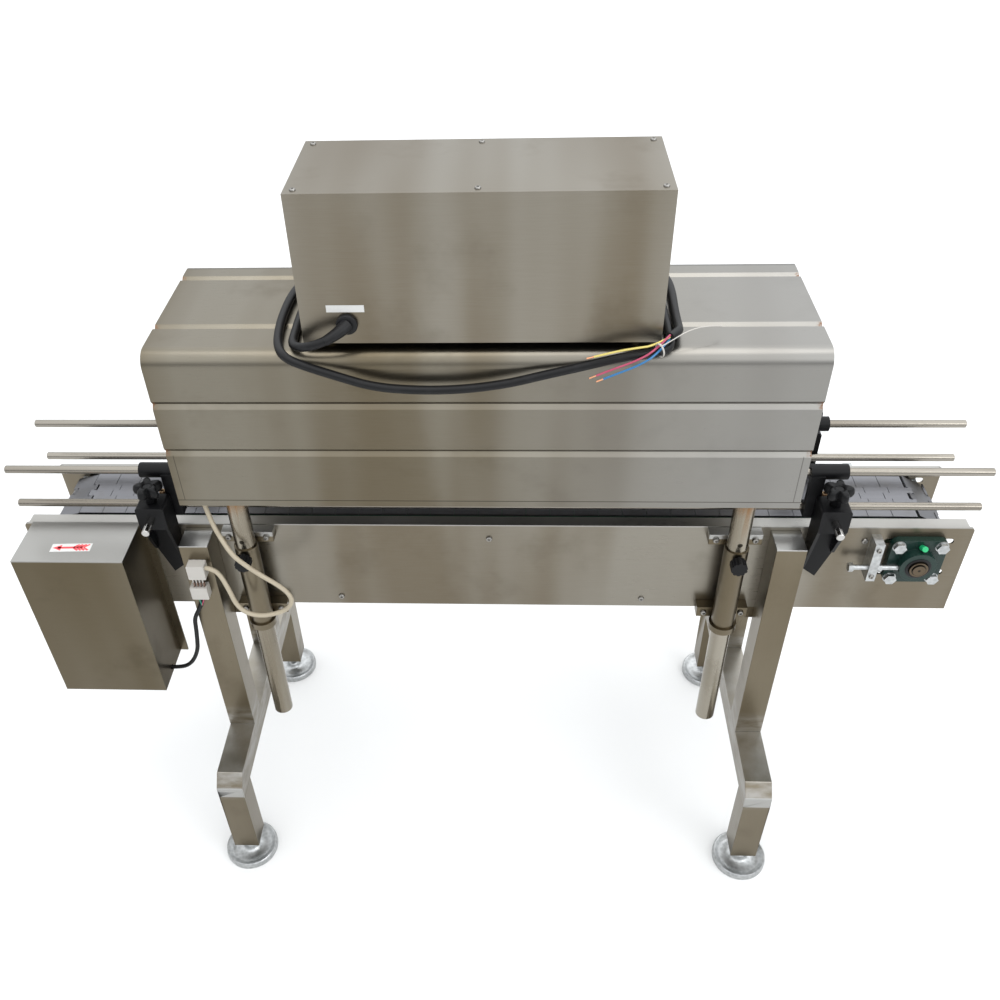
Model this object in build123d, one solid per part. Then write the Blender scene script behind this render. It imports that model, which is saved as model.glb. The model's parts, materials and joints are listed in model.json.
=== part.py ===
"""Heat-shrink tunnel over a slat-top chain conveyor, in millimetres.

+X runs along the conveyor, +Z is up, and -Y is the service side with the columns and motor guard.
The origin is on the floor, under the middle of the conveyor.
"""
import os
from math import atan2, ceil, cos, degrees, pi, radians, sin, tan

from build123d import *

# conveyor chain
slat_pitch = 38.1
slat_width = 101.6
slat_thick = 3.1
slat_gap = 0.8
slat_top_z = 690.0
link_count = 79
links_per_turn = 9
chain_phase = 0.164
pin_drop = 4.3
pin_r = 3.2
knuckle_r = 4.2
knuckle_zone = 22.0
knuckle_centre = 7.5
seam_reach = 5.2

pitch_r = slat_pitch / (2 * sin(pi / links_per_turn))
shaft_z = slat_top_z - pin_drop - pitch_r
shaft_x = slat_pitch * (link_count - links_per_turn) / 4

# side plates
plate_overhang = 79.25
plate_thick = 3.0
plate_top_z = slat_top_z + 1.0
plate_height = 176.0
plate_y = slat_width / 2 + 27.2
flange_width = 21.0
plate_corner_r = 8.0

# supports between the plates
spacer_r = 9.0
upper_spacer_z = slat_top_z - 27.0
lower_spacer_z = slat_top_z - 158.0
upper_spacer_x = (81.75 - shaft_x, 0.0, shaft_x - 81.75)
lower_spacer_x = (-250.0, 250.0)
rail_y = 36.0
rail_width = 20.0
bed_rail_height = 9.0
wear_gap = 0.2
return_strip_width = 10.0

# shafts, sprockets and bearings
shaft_r = 10.0
sprocket_width = 40.0
sprocket_tip_r = 53.0
sprocket_hub_r = 24.0
tooth_pocket_r = 4.5
flange_side = 86.0
flange_thick = 12.0
bolt_spacing = 65.0
hub_r = 28.0
hub_length = 27.0
ring_r = shaft_r + 4.0
ring_gap = 0.3
ring_length = 31.0
plate_bore_gap = 12.0
plate_slot_gap = 4.0
bolt_r = 5.0
bolt_head_af = 17.0
bolt_head_height = 6.4
slot_ahead = 16.0
slot_behind = 14.0
grease_r = 4.5
grease_length = 12.0
takeup_width = 14.0
takeup_depth = 26.0
takeup_top_z = slat_top_z - 13.0
takeup_bottom_z = slat_top_z - 89.0
takeup_back = 60.0
jack_r = 4.0
jack_y = plate_y + 19.0
jack_z = slat_top_z - 65.5
jack_head_x = 97.0

# frame
hood_length = 909.0
tube = 46.0
tube_wall = 2.0
upright_x = hood_length / 2 + 6.5
upright_top_z = slat_top_z - 7.0
beam_top_z = 241.7
beam_height = 48.0
leg_bottom_z = 39.5
foot_y = 227.0
knee_drop = 23.0
knee_run = 20.0
saddle_width = 72.0
saddle_height = 25.0

# feet
pad_r = 48.0
pad_rim = 4.0
pad_height = 12.0
pad_skin = 2.5
boss_r = 17.0
stud_r = 8.0

# motor guard and drive
guard_x = 25.75 - shaft_x
guard_width = 174.0
guard_depth = 93.0
guard_top_z = slat_top_z + 6.0
guard_bottom_z = slat_top_z - 294.0
guard_skin = 1.5
guard_lip = 13.0
gear_width = 76.0
gear_depth = 50.0
gear_top_z = slat_top_z - 18.0
gear_bottom_z = slat_top_z - 145.0
gear_gap = 3.0
motor_x = 26.75 - shaft_x
motor_r = 31.0
motor_bottom_z = slat_top_z - 244.0
cowl_bottom_z = slat_top_z - 270.0
cowl_skin = 2.0
rotor_r = 5.0
fan_r = 26.0

# guide rails
rod_r = 6.25
rod_length = 2 * (shaft_x + plate_overhang) + 8.0
rod_y = plate_y - 16.0
lower_rod_z = slat_top_z + 30.0
upper_rod_z = slat_top_z + 96.5
bracket_x = upright_x + 55.0
bracket_width = 44.0
bracket_skin = 5.0
bracket_low_z = slat_top_z - 78.0
bracket_tip_z = slat_top_z - 98.0
bracket_shoulder_z = slat_top_z - 45.0
block_depth = 38.0
block_height = 42.0
spindle_z = slat_top_z + 43.0
spindle_r = 6.0
spindle_end_y = plate_y + 73.0
arm_x = bracket_x - 35.5
arm_width = 21.0
arm_thick = 10.0
upper_clip_r = rod_r + 5.75
upper_clip_length = 56.0
lower_clip_r = rod_r + 3.75
star_y = plate_y + 22.0
star_r = 23.0
star_height = 18.0
star_gap = 16.0
running_gap = 0.05

# columns that carry the hood
column_x = hood_length / 2 - 73.5
column_y = plate_y + 32.0
column_r = 16.0
column_wall = 2.0
column_bottom_z = slat_top_z - 412.0
column_top_z = slat_top_z + 210.0
sleeve_r = column_r + 2.5
sleeve_top_z = slat_top_z - 12.0
sleeve_bottom_z = slat_top_z - 176.0
collar_r = sleeve_r + 3.5
collar_height = 12.0
bracket_block_width = 82.0
bracket_block_depth = 19.0
bracket_block_height = 20.0
upper_block_z = slat_top_z - 10.0
lower_block_z = slat_top_z - 169.0
knob_z = slat_top_z - 27.0
knob_r = 12.5
knob_length = 16.0
knob_screw_r = 4.0
knob_stand_off = sleeve_r + 2.5

# hood
hood_x = -3.0
hood_half = column_y + 25.5
hood_bottom_z = slat_top_z + 86.5
hood_height = 257.5
hood_skin = 1.5
hood_corner_r = 22.0
groove_half = 6.5
groove_depth = 5.0
top_grooves = (-59.5, 84.5)
side_groove_drops = (80.0, 160.0)
liner_half = plate_y + 7.0
liner_top_z = slat_top_z + 275.0
liner_skin = 1.2
floor_strip_length = 111.0
lead_hole_r = 9.0
heater_r = 4.0
heater_length = hood_length - 129.0
heater_bend_r = 14.0
heater_drop = 20.0

# control box
box_length = 465.0
box_depth = 176.0
box_front_y = -126.0
box_height = 201.0
box_skin = 1.2
box_stand_off = 12.0
lid_thick = 1.5
screw_r = 4.0
screw_inset = 12.0
gland_x = -175.0
gland_lift = 29.0
gland_r = 14.0
gland_length = 6.0
display_side = 72.0
display_x = -100.0
knob_x = 20.0
switch_x = 130.0
panel_lift = 104.0
dial_r = 14.0
dial_length = 16.0

# cords
mains_r = 6.0
lead_r = 3.75
motor_lead_r = 3.5
wire_r = 1.4

# worked out from the sizes above
plate_bottom_z = plate_top_z - plate_height
hood_top_z = hood_bottom_z + hood_height
hood_end_x = hood_length / 2
box_bottom_z = hood_top_z + box_stand_off
box_top_z = box_bottom_z + box_height
gland_z = box_bottom_z + gland_lift
panel_z = box_bottom_z + panel_lift
side_grooves = tuple(hood_top_z - drop for drop in side_groove_drops)
box_back_y = box_front_y + box_depth
block_y = plate_y + bracket_skin + block_depth / 2 - 3.0
sides = (-1, 1)


def block(x0, x1, y0, y1, z0, z1):
    centre = ((x0 + x1) / 2, (y0 + y1) / 2, (z0 + z1) / 2)
    return Pos(*centre) * Box(abs(x1 - x0), abs(y1 - y0), abs(z1 - z0))


def bar_x(x0, x1, y, z, r):
    return Pos((x0 + x1) / 2, y, z) * Rot(0, 90, 0) * Cylinder(r, abs(x1 - x0))


def bar_y(y0, y1, x, z, r):
    return Pos(x, (y0 + y1) / 2, z) * Rot(90, 0, 0) * Cylinder(r, abs(y1 - y0))


def bar_z(z0, z1, x, y, r):
    return Pos(x, y, (z0 + z1) / 2) * Cylinder(r, abs(z1 - z0))


def prism(points, sweep_to):
    """A flat outline of 3-D points, pushed along one direction."""
    direction = Vector(*sweep_to)
    outline = make_face(Polyline(*points, close=True))
    return extrude(outline, amount=direction.length, dir=direction.normalized())


def hexagon_x(x0, x1, y, z, across):
    """A hexagonal head or nut with its axis along X."""
    corner = across / 3 ** 0.5
    points = [(x0, y + corner * cos(k * pi / 3), z + corner * sin(k * pi / 3)) for k in range(6)]
    return prism(points, (x1 - x0, 0, 0))


def hexagon_y(y0, y1, x, z, across):
    """A hexagonal head or nut with its axis along Y."""
    corner = across / 3 ** 0.5
    points = [(x + corner * cos(k * pi / 3), y0, z + corner * sin(k * pi / 3)) for k in range(6)]
    return prism(points, (0, y1 - y0, 0))


def save(name, *shapes):
    solids = [solid for shape in shapes for solid in shape.solids()]
    export_step(Compound(solids), f"parts/{name}.step")


def cord(points, radius, name):
    """A tube along straight runs joined by the largest tangent arcs that fit."""
    corners = [Vector(*p) for p in points]
    runs = [(b - a).length for a, b in zip(corners, corners[1:])]
    radii = []
    for i in range(1, len(corners) - 1):
        turn = (corners[i] - corners[i - 1]).get_angle(corners[i + 1] - corners[i])
        radii.append(0.45 * min(runs[i - 1], runs[i]) / tan(radians(turn) / 2))
    path = FilletPolyline(*corners, radius=radii)
    section = Plane(origin=path @ 0, z_dir=path % 0) * Circle(radius)
    tube_solid = sweep(section, path=path)
    expected = pi * radius ** 2 * path.length
    print(name, "length", round(path.length), "smallest radius", round(min(radii), 1),
          "volume ratio", round(tube_solid.volume / expected, 4), "longest run", round(max(runs)))
    return tube_solid


# ---- conveyor ----

def chain_point(t):
    """Place and heading of the pin line, t links along the loop from the left top tangent."""
    straight = 2 * shaft_x / slat_pitch
    half_turn = links_per_turn / 2
    step = 2 * pi / links_per_turn
    t = t % link_count
    if t < straight:
        return -shaft_x + slat_pitch * t, shaft_z + pitch_r
    if t < straight + half_turn:
        angle = (t - straight) * step
        return shaft_x + pitch_r * sin(angle), shaft_z + pitch_r * cos(angle)
    if t < 2 * straight + half_turn:
        return shaft_x - slat_pitch * (t - straight - half_turn), shaft_z - pitch_r
    angle = (t - 2 * straight - half_turn) * step
    return -shaft_x - pitch_r * sin(angle), shaft_z - pitch_r * cos(angle)


def seam(offset):
    """Half of a slat's edge, from the outer side to the middle: the edge steps round the knuckles."""
    back, ahead = offset - seam_reach, offset + seam_reach
    half = slat_width / 2
    return [(back, half), (back, knuckle_zone), (ahead, knuckle_zone), (ahead, knuckle_centre), (back, knuckle_centre)]


def slat():
    """One slat with its rear pin on the Y axis: plate, one centre knuckle behind, two knuckles in front."""
    under = pin_drop - slat_thick
    front = seam(slat_pitch - slat_gap / 2)
    rear = seam(slat_gap / 2)
    outline = [(x, y) for x, y in front] + [(x, -y) for x, y in reversed(front)]
    outline += [(x, -y) for x, y in rear] + [(x, y) for x, y in reversed(rear)]
    plate = prism([(x, y, under) for x, y in outline], (0, 0, slat_thick))
    knuckle_gap = 0.4
    centre = bar_y(-knuckle_centre + knuckle_gap, knuckle_centre - knuckle_gap, 0, 0, knuckle_r)
    centre = centre & block(-knuckle_r, knuckle_r, -slat_width, slat_width, -knuckle_r, under + 0.1)
    body = plate + centre
    for side in sides:
        front_knuckle = bar_y(side * (knuckle_centre + knuckle_gap), side * (knuckle_zone - knuckle_gap),
                              slat_pitch, 0, knuckle_r)
        trimmed = front_knuckle & block(slat_pitch - knuckle_r, slat_pitch + knuckle_r, -slat_width, slat_width,
                                        -knuckle_r, under + 0.1)
        body += trimmed
    bore = pin_r + running_gap
    reach = knuckle_zone + 1
    return body - bar_y(-reach, reach, 0, 0, bore) - bar_y(-reach, reach, slat_pitch, 0, bore)


def chain():
    template = slat().solids()[0]
    pin = bar_y(-knuckle_zone, knuckle_zone, 0, 0, pin_r).solids()[0]
    links = []
    for i in range(link_count):
        x0, z0 = chain_point(chain_phase + i)
        x1, z1 = chain_point(chain_phase + i + 1)
        heading = degrees(atan2(z1 - z0, x1 - x0))
        place = Pos(x0, 0, z0) * Rot(0, -heading, 0)
        links.append(place * template)
        links.append(place * pin)
    save("slat_chain", *links)


def first_pin_angle(sign):
    """Angle in radians, from straight up towards +X, of one pin on the wrap at this end."""
    straight = 2 * shaft_x / slat_pitch
    start = straight if sign > 0 else 2 * straight + links_per_turn / 2
    t = ceil(start - chain_phase) + chain_phase
    x, z = chain_point(t)
    return atan2(x - sign * shaft_x, z - shaft_z)


def sprocket(sign):
    x = sign * shaft_x
    wheel = bar_y(-sprocket_width / 2, sprocket_width / 2, x, shaft_z, sprocket_tip_r)
    pockets = 2 * links_per_turn
    start = first_pin_angle(sign)
    for k in range(pockets):
        angle = start + k * 2 * pi / pockets
        px = x + pitch_r * sin(angle)
        pz = shaft_z + pitch_r * cos(angle)
        wheel -= bar_y(-sprocket_width, sprocket_width, px, pz, tooth_pocket_r)
    hub = bar_y(-sprocket_width / 2 - 10, sprocket_width / 2 + 10, x, shaft_z, sprocket_hub_r)
    return wheel + hub - bar_y(-slat_width, slat_width, x, shaft_z, shaft_r + running_gap / 5)


def side_plate(side):
    half = shaft_x + plate_overhang
    outer, inner = side * plate_y, side * (plate_y - plate_thick)
    web = block(-half, half, outer, inner, plate_bottom_z, plate_top_z)
    web = fillet(web.edges().filter_by(Axis.Y).group_by(Axis.Z)[-1], plate_corner_r)
    flange = block(-half + plate_corner_r, half - plate_corner_r, inner, side * (plate_y - flange_width),
                   plate_top_z - plate_thick, plate_top_z)
    plate = web + flange
    cut = side * (plate_y + 5), side * (plate_y - 8)
    for end in sides:
        plate -= bar_y(*cut, end * shaft_x, shaft_z, shaft_r + plate_bore_gap)
    slot_half = shaft_r + plate_slot_gap
    plate -= block(shaft_x - slot_behind - shaft_r, shaft_x + slot_ahead + shaft_r, *cut, shaft_z - slot_half,
                   shaft_z + slot_half)
    hole_r = bolt_r + 0.5
    for dx in sides:
        for dz in sides:
            z = shaft_z + dz * bolt_spacing / 2
            plate -= bar_y(*cut, -shaft_x + dx * bolt_spacing / 2, z, hole_r)
            x = shaft_x + dx * bolt_spacing / 2
            plate -= block(x - slot_behind, x + slot_ahead, *cut, z - hole_r, z + hole_r)
            plate -= bar_y(*cut, x - slot_behind, z, hole_r) + bar_y(*cut, x + slot_ahead, z, hole_r)
    return plate


def supports():
    inner = plate_y - plate_thick
    spacers = [bar_y(-inner, inner, x, upper_spacer_z, spacer_r) for x in upper_spacer_x]
    spacers += [bar_y(-inner, inner, x, lower_spacer_z, spacer_r) for x in lower_spacer_x]
    saddles = []
    for side in sides:
        x = side * upright_x
        saddles.append(block(x - saddle_width / 2, x + saddle_width / 2, -plate_y, plate_y,
                             plate_bottom_z - saddle_height, plate_bottom_z))
    save("cross_members", *spacers, *saddles)

    rail_bottom = upper_spacer_z + spacer_r
    rail_top = rail_bottom + bed_rail_height
    reach = shaft_x - pitch_r / 2
    under_slat = slat_top_z - slat_thick - wear_gap
    return_top = shaft_z - pitch_r - pin_drop - wear_gap
    return_bottom = lower_spacer_z + spacer_r
    rails, strips = [], []
    for side in sides:
        y0, y1 = side * (rail_y - rail_width / 2), side * (rail_y + rail_width / 2)
        rails.append(block(-reach, reach, y0, y1, rail_bottom, rail_top))
        strips.append(block(-reach, reach, y0, y1, rail_top, under_slat))
        strips.append(block(-reach, reach, side * (rail_y - return_strip_width / 2),
                            side * (rail_y + return_strip_width / 2), return_bottom, return_top))
    save("bed_rails", *rails)
    save("wear_strips", *strips)


# ---- shafts and bearings ----

def bearing_housing(end, side):
    x = end * shaft_x
    face = side * plate_y
    flange = block(x - flange_side / 2, x + flange_side / 2, face, face + side * flange_thick,
                   shaft_z - flange_side / 2, shaft_z + flange_side / 2)
    flange = fillet(flange.edges().filter_by(Axis.Y), 12)
    housing = flange + bar_y(face, face + side * hub_length, x, shaft_z, hub_r)
    housing -= bar_y(face - side * 5, face + side * (hub_length + 5), x, shaft_z, ring_r + ring_gap)
    for dx in sides:
        for dz in sides:
            housing -= bar_y(face - side * 5, face + side * 20, x + dx * bolt_spacing / 2,
                             shaft_z + dz * bolt_spacing / 2, bolt_r + 0.5)
    return housing


def housing_bolts(end, side):
    bolts = []
    head = side * (plate_y + flange_thick)
    inside = side * (plate_y - plate_thick)
    for dx in sides:
        for dz in sides:
            x = end * shaft_x + dx * bolt_spacing / 2
            z = shaft_z + dz * bolt_spacing / 2
            bolt = bar_y(head + side * 1.5, inside - side * 9, x, z, bolt_r)
            bolt += bar_y(head, head + side * 1.5, x, z, bolt_head_af * 0.6)
            bolt += hexagon_y(head + side * 1.5, head + side * (1.5 + bolt_head_height), x, z, bolt_head_af)
            bolt += hexagon_y(inside, inside - side * 7, x, z, bolt_head_af)
            bolts.append(bolt)
    return bolts


def takeup(side):
    """A drilled block on the plate with a jack screw that pushes the idler bearing outwards."""
    x1 = shaft_x - takeup_back
    x0 = x1 - takeup_width
    face = side * plate_y
    body = block(x0, x1, face, face + side * takeup_depth, takeup_bottom_z, takeup_top_z)
    body -= bar_x(x0 - 1, x1 + 1, side * jack_y, jack_z, jack_r + 0.1)
    head_x = shaft_x - jack_head_x
    tip = shaft_x - (hub_r ** 2 - (shaft_z - jack_z) ** 2) ** 0.5 - 0.5
    screw = bar_x(head_x - 7, tip, side * jack_y, jack_z, jack_r)
    screw += hexagon_x(head_x - 7, head_x, side * jack_y, jack_z, 13)
    screw += hexagon_x(x1 + 0.2, x1 + 6.7, side * jack_y, jack_z, 13)
    return [body, screw]


def shaft(end, near_reach):
    x = end * shaft_x
    reach = plate_y + ring_length + 2
    rod = bar_y(-reach - near_reach, reach, x, shaft_z, shaft_r)
    rings = []
    for side in sides:
        ring = bar_y(side * (plate_y + 1), side * (plate_y + ring_length), x, shaft_z, ring_r)
        rings.append(ring - bar_y(-200, 200, x, shaft_z, shaft_r + running_gap / 5))
    return [rod, *rings]


def bearings():
    ends = [(end, side) for end in sides for side in sides]
    save("bearing_housings", *[bearing_housing(*place) for place in ends])
    save("bearing_bolts", *[bolt for place in ends for bolt in housing_bolts(*place)])
    caps = []
    for end, side in ends:
        base = Pos(end * shaft_x + 2, side * (plate_y + flange_thick + grease_r * 0.53), shaft_z + hub_r + 4)
        tilt = Rot(side * -60, 0, 0)
        cap = Cylinder(grease_r, grease_length, align=(Align.CENTER, Align.CENTER, Align.MIN))
        caps.append(base * tilt * cap)
    save("grease_caps", *caps)
    save("takeup_jacks", *takeup(-1), *takeup(1))
    save("drive_shaft", *shaft(-1, gear_depth / 2))
    save("drive_sprocket", sprocket(-1))
    save("idler_shaft", *shaft(1, 0))
    save("idler_sprocket", sprocket(1))


# ---- frame ----

def hollow(x0, x1, y0, y1, z0, z1, wall):
    """A closed square tube."""
    return block(x0, x1, y0, y1, z0, z1) - block(x0 + wall, x1 - wall, y0 + wall, y1 - wall, z0 + wall, z1 - wall)


def frame():
    uprights, bases = [], []
    half = tube / 2
    knee_y = foot_y + half
    for end in sides:
        x0, x1 = end * upright_x - half, end * upright_x + half
        for side in sides:
            y0, y1 = sorted((side * plate_y, side * (plate_y + tube)))
            uprights.append(hollow(x0, x1, y0, y1, beam_top_z, upright_top_z, tube_wall))
            y0, y1 = sorted((side * (knee_y - tube), side * knee_y))
            leg = hollow(x0, x1, y0, y1, leg_bottom_z, beam_top_z - beam_height, tube_wall)
            leg -= bar_z(leg_bottom_z - 1, leg_bottom_z + tube_wall + 1, end * upright_x, side * foot_y,
                         stud_r + running_gap)
            bases.append(leg)
        outline = [(x0, -knee_y, beam_top_z - beam_height), (x0, -knee_y, beam_top_z - knee_drop),
                   (x0, -knee_y + knee_run, beam_top_z), (x0, knee_y - knee_run, beam_top_z),
                   (x0, knee_y, beam_top_z - knee_drop), (x0, knee_y, beam_top_z - beam_height)]
        beam = prism(outline, (tube, 0, 0))
        cavity = block(x0 + tube_wall, x1 - tube_wall, -knee_y + knee_run + 4, knee_y - knee_run - 4,
                       beam_top_z - beam_height + tube_wall, beam_top_z - tube_wall)
        bases.append(beam - cavity)
    save("uprights", *uprights)
    save("base_frames", *bases)


def foot(x, y):
    """A dished pressed pad with a threaded stud that screws up into the leg."""
    profile = [(0, pad_skin), (boss_r, pad_skin), (boss_r, 0), (pad_r, 0), (pad_r, pad_rim),
               (pad_r - pad_skin, pad_rim), (pad_r - pad_skin - 5, pad_skin), (boss_r + 8, pad_skin + 1),
               (boss_r, pad_height), (0, pad_height)]
    pad = revolve(make_face(Polyline(*[(r, 0, z) for r, z in profile], close=True)), Axis.Z)
    stud = bar_z(pad_height - 1, leg_bottom_z + 30, 0, 0, stud_r)
    nut = prism([(14 * cos(k * pi / 3), 14 * sin(k * pi / 3), leg_bottom_z - 9) for k in range(6)], (0, 0, 8.6))
    return Pos(x, y, 0) * (pad + stud + nut)


# ---- drive ----

def drive():
    x0, x1 = guard_x - guard_width / 2, guard_x + guard_width / 2
    back = -plate_y - plate_thick
    front = back - guard_depth
    guard = block(x0, x1, front, back, guard_bottom_z, guard_top_z)
    guard -= block(x0 + guard_skin, x1 - guard_skin, front + guard_skin, back + 1, guard_bottom_z + guard_skin,
                   guard_top_z - guard_skin)
    guard -= bar_x(x1 - 5, x1 + 5, *motor_lead_points[-1][1:], motor_lead_r + 1.5)
    plate = block(x0, x1 + guard_lip, back, -plate_y, guard_bottom_z, plate_top_z - 2)
    clear = flange_side / 2 + 3
    plate -= block(-shaft_x - clear, -shaft_x + clear, back - 1, -plate_y + 1, shaft_z - clear, shaft_z + clear)
    save("motor_guard", guard, plate)

    gear_back = -plate_y - ring_length - gear_gap
    gear_front = gear_back - gear_depth
    gear = block(-shaft_x - gear_width / 2, -shaft_x + gear_width / 2, gear_front, gear_back, gear_bottom_z, gear_top_z)
    gear = fillet(gear.edges().filter_by(Axis.Y), 10)
    for x in (-shaft_x - gear_width / 4, -shaft_x + gear_width / 2 - 6):
        gear += bar_y(gear_back, back, x, gear_bottom_z + 12, 6)
    gear -= bar_y(gear_front - 1, gear_back + 1, -shaft_x, shaft_z, shaft_r + 0.05)
    save("gear_unit", gear)

    motor_y = (gear_front + gear_back) / 2
    motor = bar_z(motor_bottom_z, gear_bottom_z, motor_x, motor_y, motor_r)
    cowl = bar_z(cowl_bottom_z, motor_bottom_z, motor_x, motor_y, motor_r)
    cowl -= bar_z(cowl_bottom_z + cowl_skin, motor_bottom_z, motor_x, motor_y, motor_r - cowl_skin)
    vents = 8
    for k in range(vents):
        angle = 2 * pi * k / vents
        cowl -= bar_z(cowl_bottom_z - 1, cowl_bottom_z + cowl_skin + 1, motor_x + 18 * cos(angle),
                      motor_y + 18 * sin(angle), 4)
    motor = motor + cowl - bar_z(motor_bottom_z - 1, motor_bottom_z + 30, motor_x, motor_y, rotor_r + running_gap)
    save("gear_motor", motor)

    rotor = bar_z(cowl_bottom_z + 8, motor_bottom_z + 28, motor_x, motor_y, rotor_r)
    rotor += bar_z(cowl_bottom_z + 8, cowl_bottom_z + 11, motor_x, motor_y, fan_r)
    for k in range(6):
        blade = block(rotor_r - 1, fan_r - 1, -1, 1, cowl_bottom_z + 11, cowl_bottom_z + 20)
        rotor += Pos(motor_x, motor_y, 0) * Rot(0, 0, 60 * k) * blade
    save("motor_rotor", rotor)


# ---- guide rails ----

def guide_base(end, side):
    """A moulded bracket: a pointed back plate with two ribs, and a block bored for the spindle."""
    x0, x1 = bracket_x - bracket_width / 2, bracket_x + bracket_width / 2
    block_bottom = spindle_z - block_height / 2
    outline = [(x0, bracket_low_z), (bracket_x + 4, bracket_tip_z), (x1, bracket_shoulder_z),
               (x1, block_bottom + 4), (x0, block_bottom + 4)]
    face = plate_y
    back = prism([(end * x, side * face, z) for x, z in outline], (0, side * bracket_skin, 0))
    base = back
    for x, bottom in ((x0, bracket_low_z + 6), (x1 - bracket_skin, bracket_shoulder_z + 4)):
        rib = [(end * x, side * (face + bracket_skin), bottom), (end * x, side * (face + 12), bottom),
               (end * x, side * (block_y + block_depth / 2), block_bottom + 4),
               (end * x, side * (face + bracket_skin), block_bottom + 4)]
        base += prism(rib, (end * bracket_skin, 0, 0))
    head = block(end * x0, end * x1, side * (block_y - block_depth / 2), side * (block_y + block_depth / 2),
                 block_bottom, block_bottom + block_height)
    head = fillet(head.edges().filter_by(Axis.Y), 4)
    base += head
    base -= bar_y(side * 40, side * 200, end * bracket_x, spindle_z, spindle_r + running_gap)
    stem_bottom = spindle_z + spindle_r + 3
    base -= bar_z(stem_bottom, block_bottom + block_height + 5, end * bracket_x, side * star_y,
                  knob_screw_r + running_gap)
    return base


def rail_holder(end, side):
    """An arm beside the rods with a clip round each and a tab that takes the spindle."""
    x0, x1 = end * arm_x, end * (arm_x + arm_width)
    y = side * rod_y
    arm_y0 = side * (rod_y + 5)
    arm_y1 = side * (rod_y + 5 + arm_thick)
    holder = block(x0, x1, arm_y0, arm_y1, lower_rod_z - lower_clip_r, upper_rod_z)
    holder += bar_x(x0, end * (arm_x + upper_clip_length), y, upper_rod_z, upper_clip_r)
    holder += bar_x(x0, x1, y, lower_rod_z, lower_clip_r)
    holder += block(x1, end * (bracket_x + 11), arm_y0, arm_y1, spindle_z - 12, spindle_z + 12)
    for z in (lower_rod_z, upper_rod_z):
        holder -= bar_x(end * 400, end * 600, y, z, rod_r + running_gap / 5)
    holder -= bar_y(side * 40, side * 200, end * bracket_x, spindle_z, spindle_r + running_gap / 5)
    return holder


def star_knob(end, side):
    """A five-lobed hand knob on a clamp screw that bears down on the spindle."""
    base = spindle_z + block_height / 2
    lobe_r = star_r * 0.32
    low, high = base + star_gap, base + star_gap + star_height
    knob = bar_z(low, high, 0, 0, star_r * 0.62) + bar_z(base + 0.4, low, 0, 0, 8)
    for k in range(5):
        angle = 2 * pi * k / 5
        lobe = bar_z(low, high, (star_r - lobe_r) * cos(angle), (star_r - lobe_r) * sin(angle), lobe_r)
        knob += chamfer(lobe.edges(), 1.5)
    knob += bar_z(spindle_z + spindle_r + 3.4, base + 1, 0, 0, knob_screw_r)
    return Pos(end * bracket_x, side * star_y, 0) * knob


def guides():
    corners = [(end, side) for end in sides for side in sides]
    save("guide_bases", *[guide_base(*place) for place in corners])
    for side, name in ((-1, "near"), (1, "far")):
        half = rod_length / 2
        rods = [bar_x(-half, half, side * rod_y, z, rod_r) for z in (lower_rod_z, upper_rod_z)]
        save(f"guide_rods_{name}", *[chamfer(rod.edges(), 1) for rod in rods])
        save(f"rail_holders_{name}", *[rail_holder(end, side) for end in sides])
        inner = side * (rod_y + 5)
        spindles = [bar_y(inner, side * spindle_end_y, end * bracket_x, spindle_z, spindle_r) for end in sides]
        save(f"spindles_{name}", *[chamfer(spindle.edges(), 0.8) for spindle in spindles])
        for end, end_name in ((-1, "left"), (1, "right")):
            save(f"star_knob_{end_name}_{name}", star_knob(end, side))


# ---- columns ----

def columns():
    tubes, sleeves, blocks = [], [], []
    y = -column_y
    for end in sides:
        x = end * column_x
        outer = bar_z(column_bottom_z, column_top_z, x, y, column_r)
        inner = bar_z(column_bottom_z + column_wall, column_top_z - column_wall, x, y, column_r - column_wall)
        tubes.append(outer - inner)
        bore = column_r + running_gap
        sleeve = bar_z(sleeve_bottom_z, sleeve_top_z, x, y, sleeve_r)
        collar = bar_z(sleeve_bottom_z - collar_height, sleeve_bottom_z, x, y, collar_r)
        hole = bar_z(sleeve_bottom_z - collar_height - 1, sleeve_top_z + 1, x, y, bore)
        screw_hole = bar_y(y - sleeve_r - 2, y, x, knob_z, knob_screw_r + running_gap)
        sleeves += [sleeve - hole - screw_hole, collar - hole]
        for z in (upper_block_z, lower_block_z):
            saddle = block(x - bracket_block_width / 2, x + bracket_block_width / 2, -plate_y - bracket_block_depth,
                           -plate_y, z - bracket_block_height / 2, z + bracket_block_height / 2)
            saddle -= bar_z(z - 20, z + 20, x, y, sleeve_r + 0.1)
            blocks.append(saddle - bar_z(sleeve_bottom_z - 40, sleeve_bottom_z + 0.1, x, y, collar_r + 0.1))
        name = "left" if end < 0 else "right"
        tip = y - column_r - 0.3
        screw = bar_y(tip, y - knob_stand_off, x, knob_z, knob_screw_r)
        grip = bar_y(y - knob_stand_off, y - knob_stand_off - knob_length, x, knob_z, knob_r)
        lobes = 10
        for k in range(lobes):
            angle = 2 * pi * k / lobes
            grip -= bar_y(y - 80, y, x + (knob_r + 1.2) * cos(angle), knob_z + (knob_r + 1.2) * sin(angle), 2.4)
        save(f"lock_knob_{name}", grip + screw)
    save("columns", *tubes)
    save("column_sleeves", *sleeves)
    save("sleeve_brackets", *blocks)


# ---- hood ----

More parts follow.
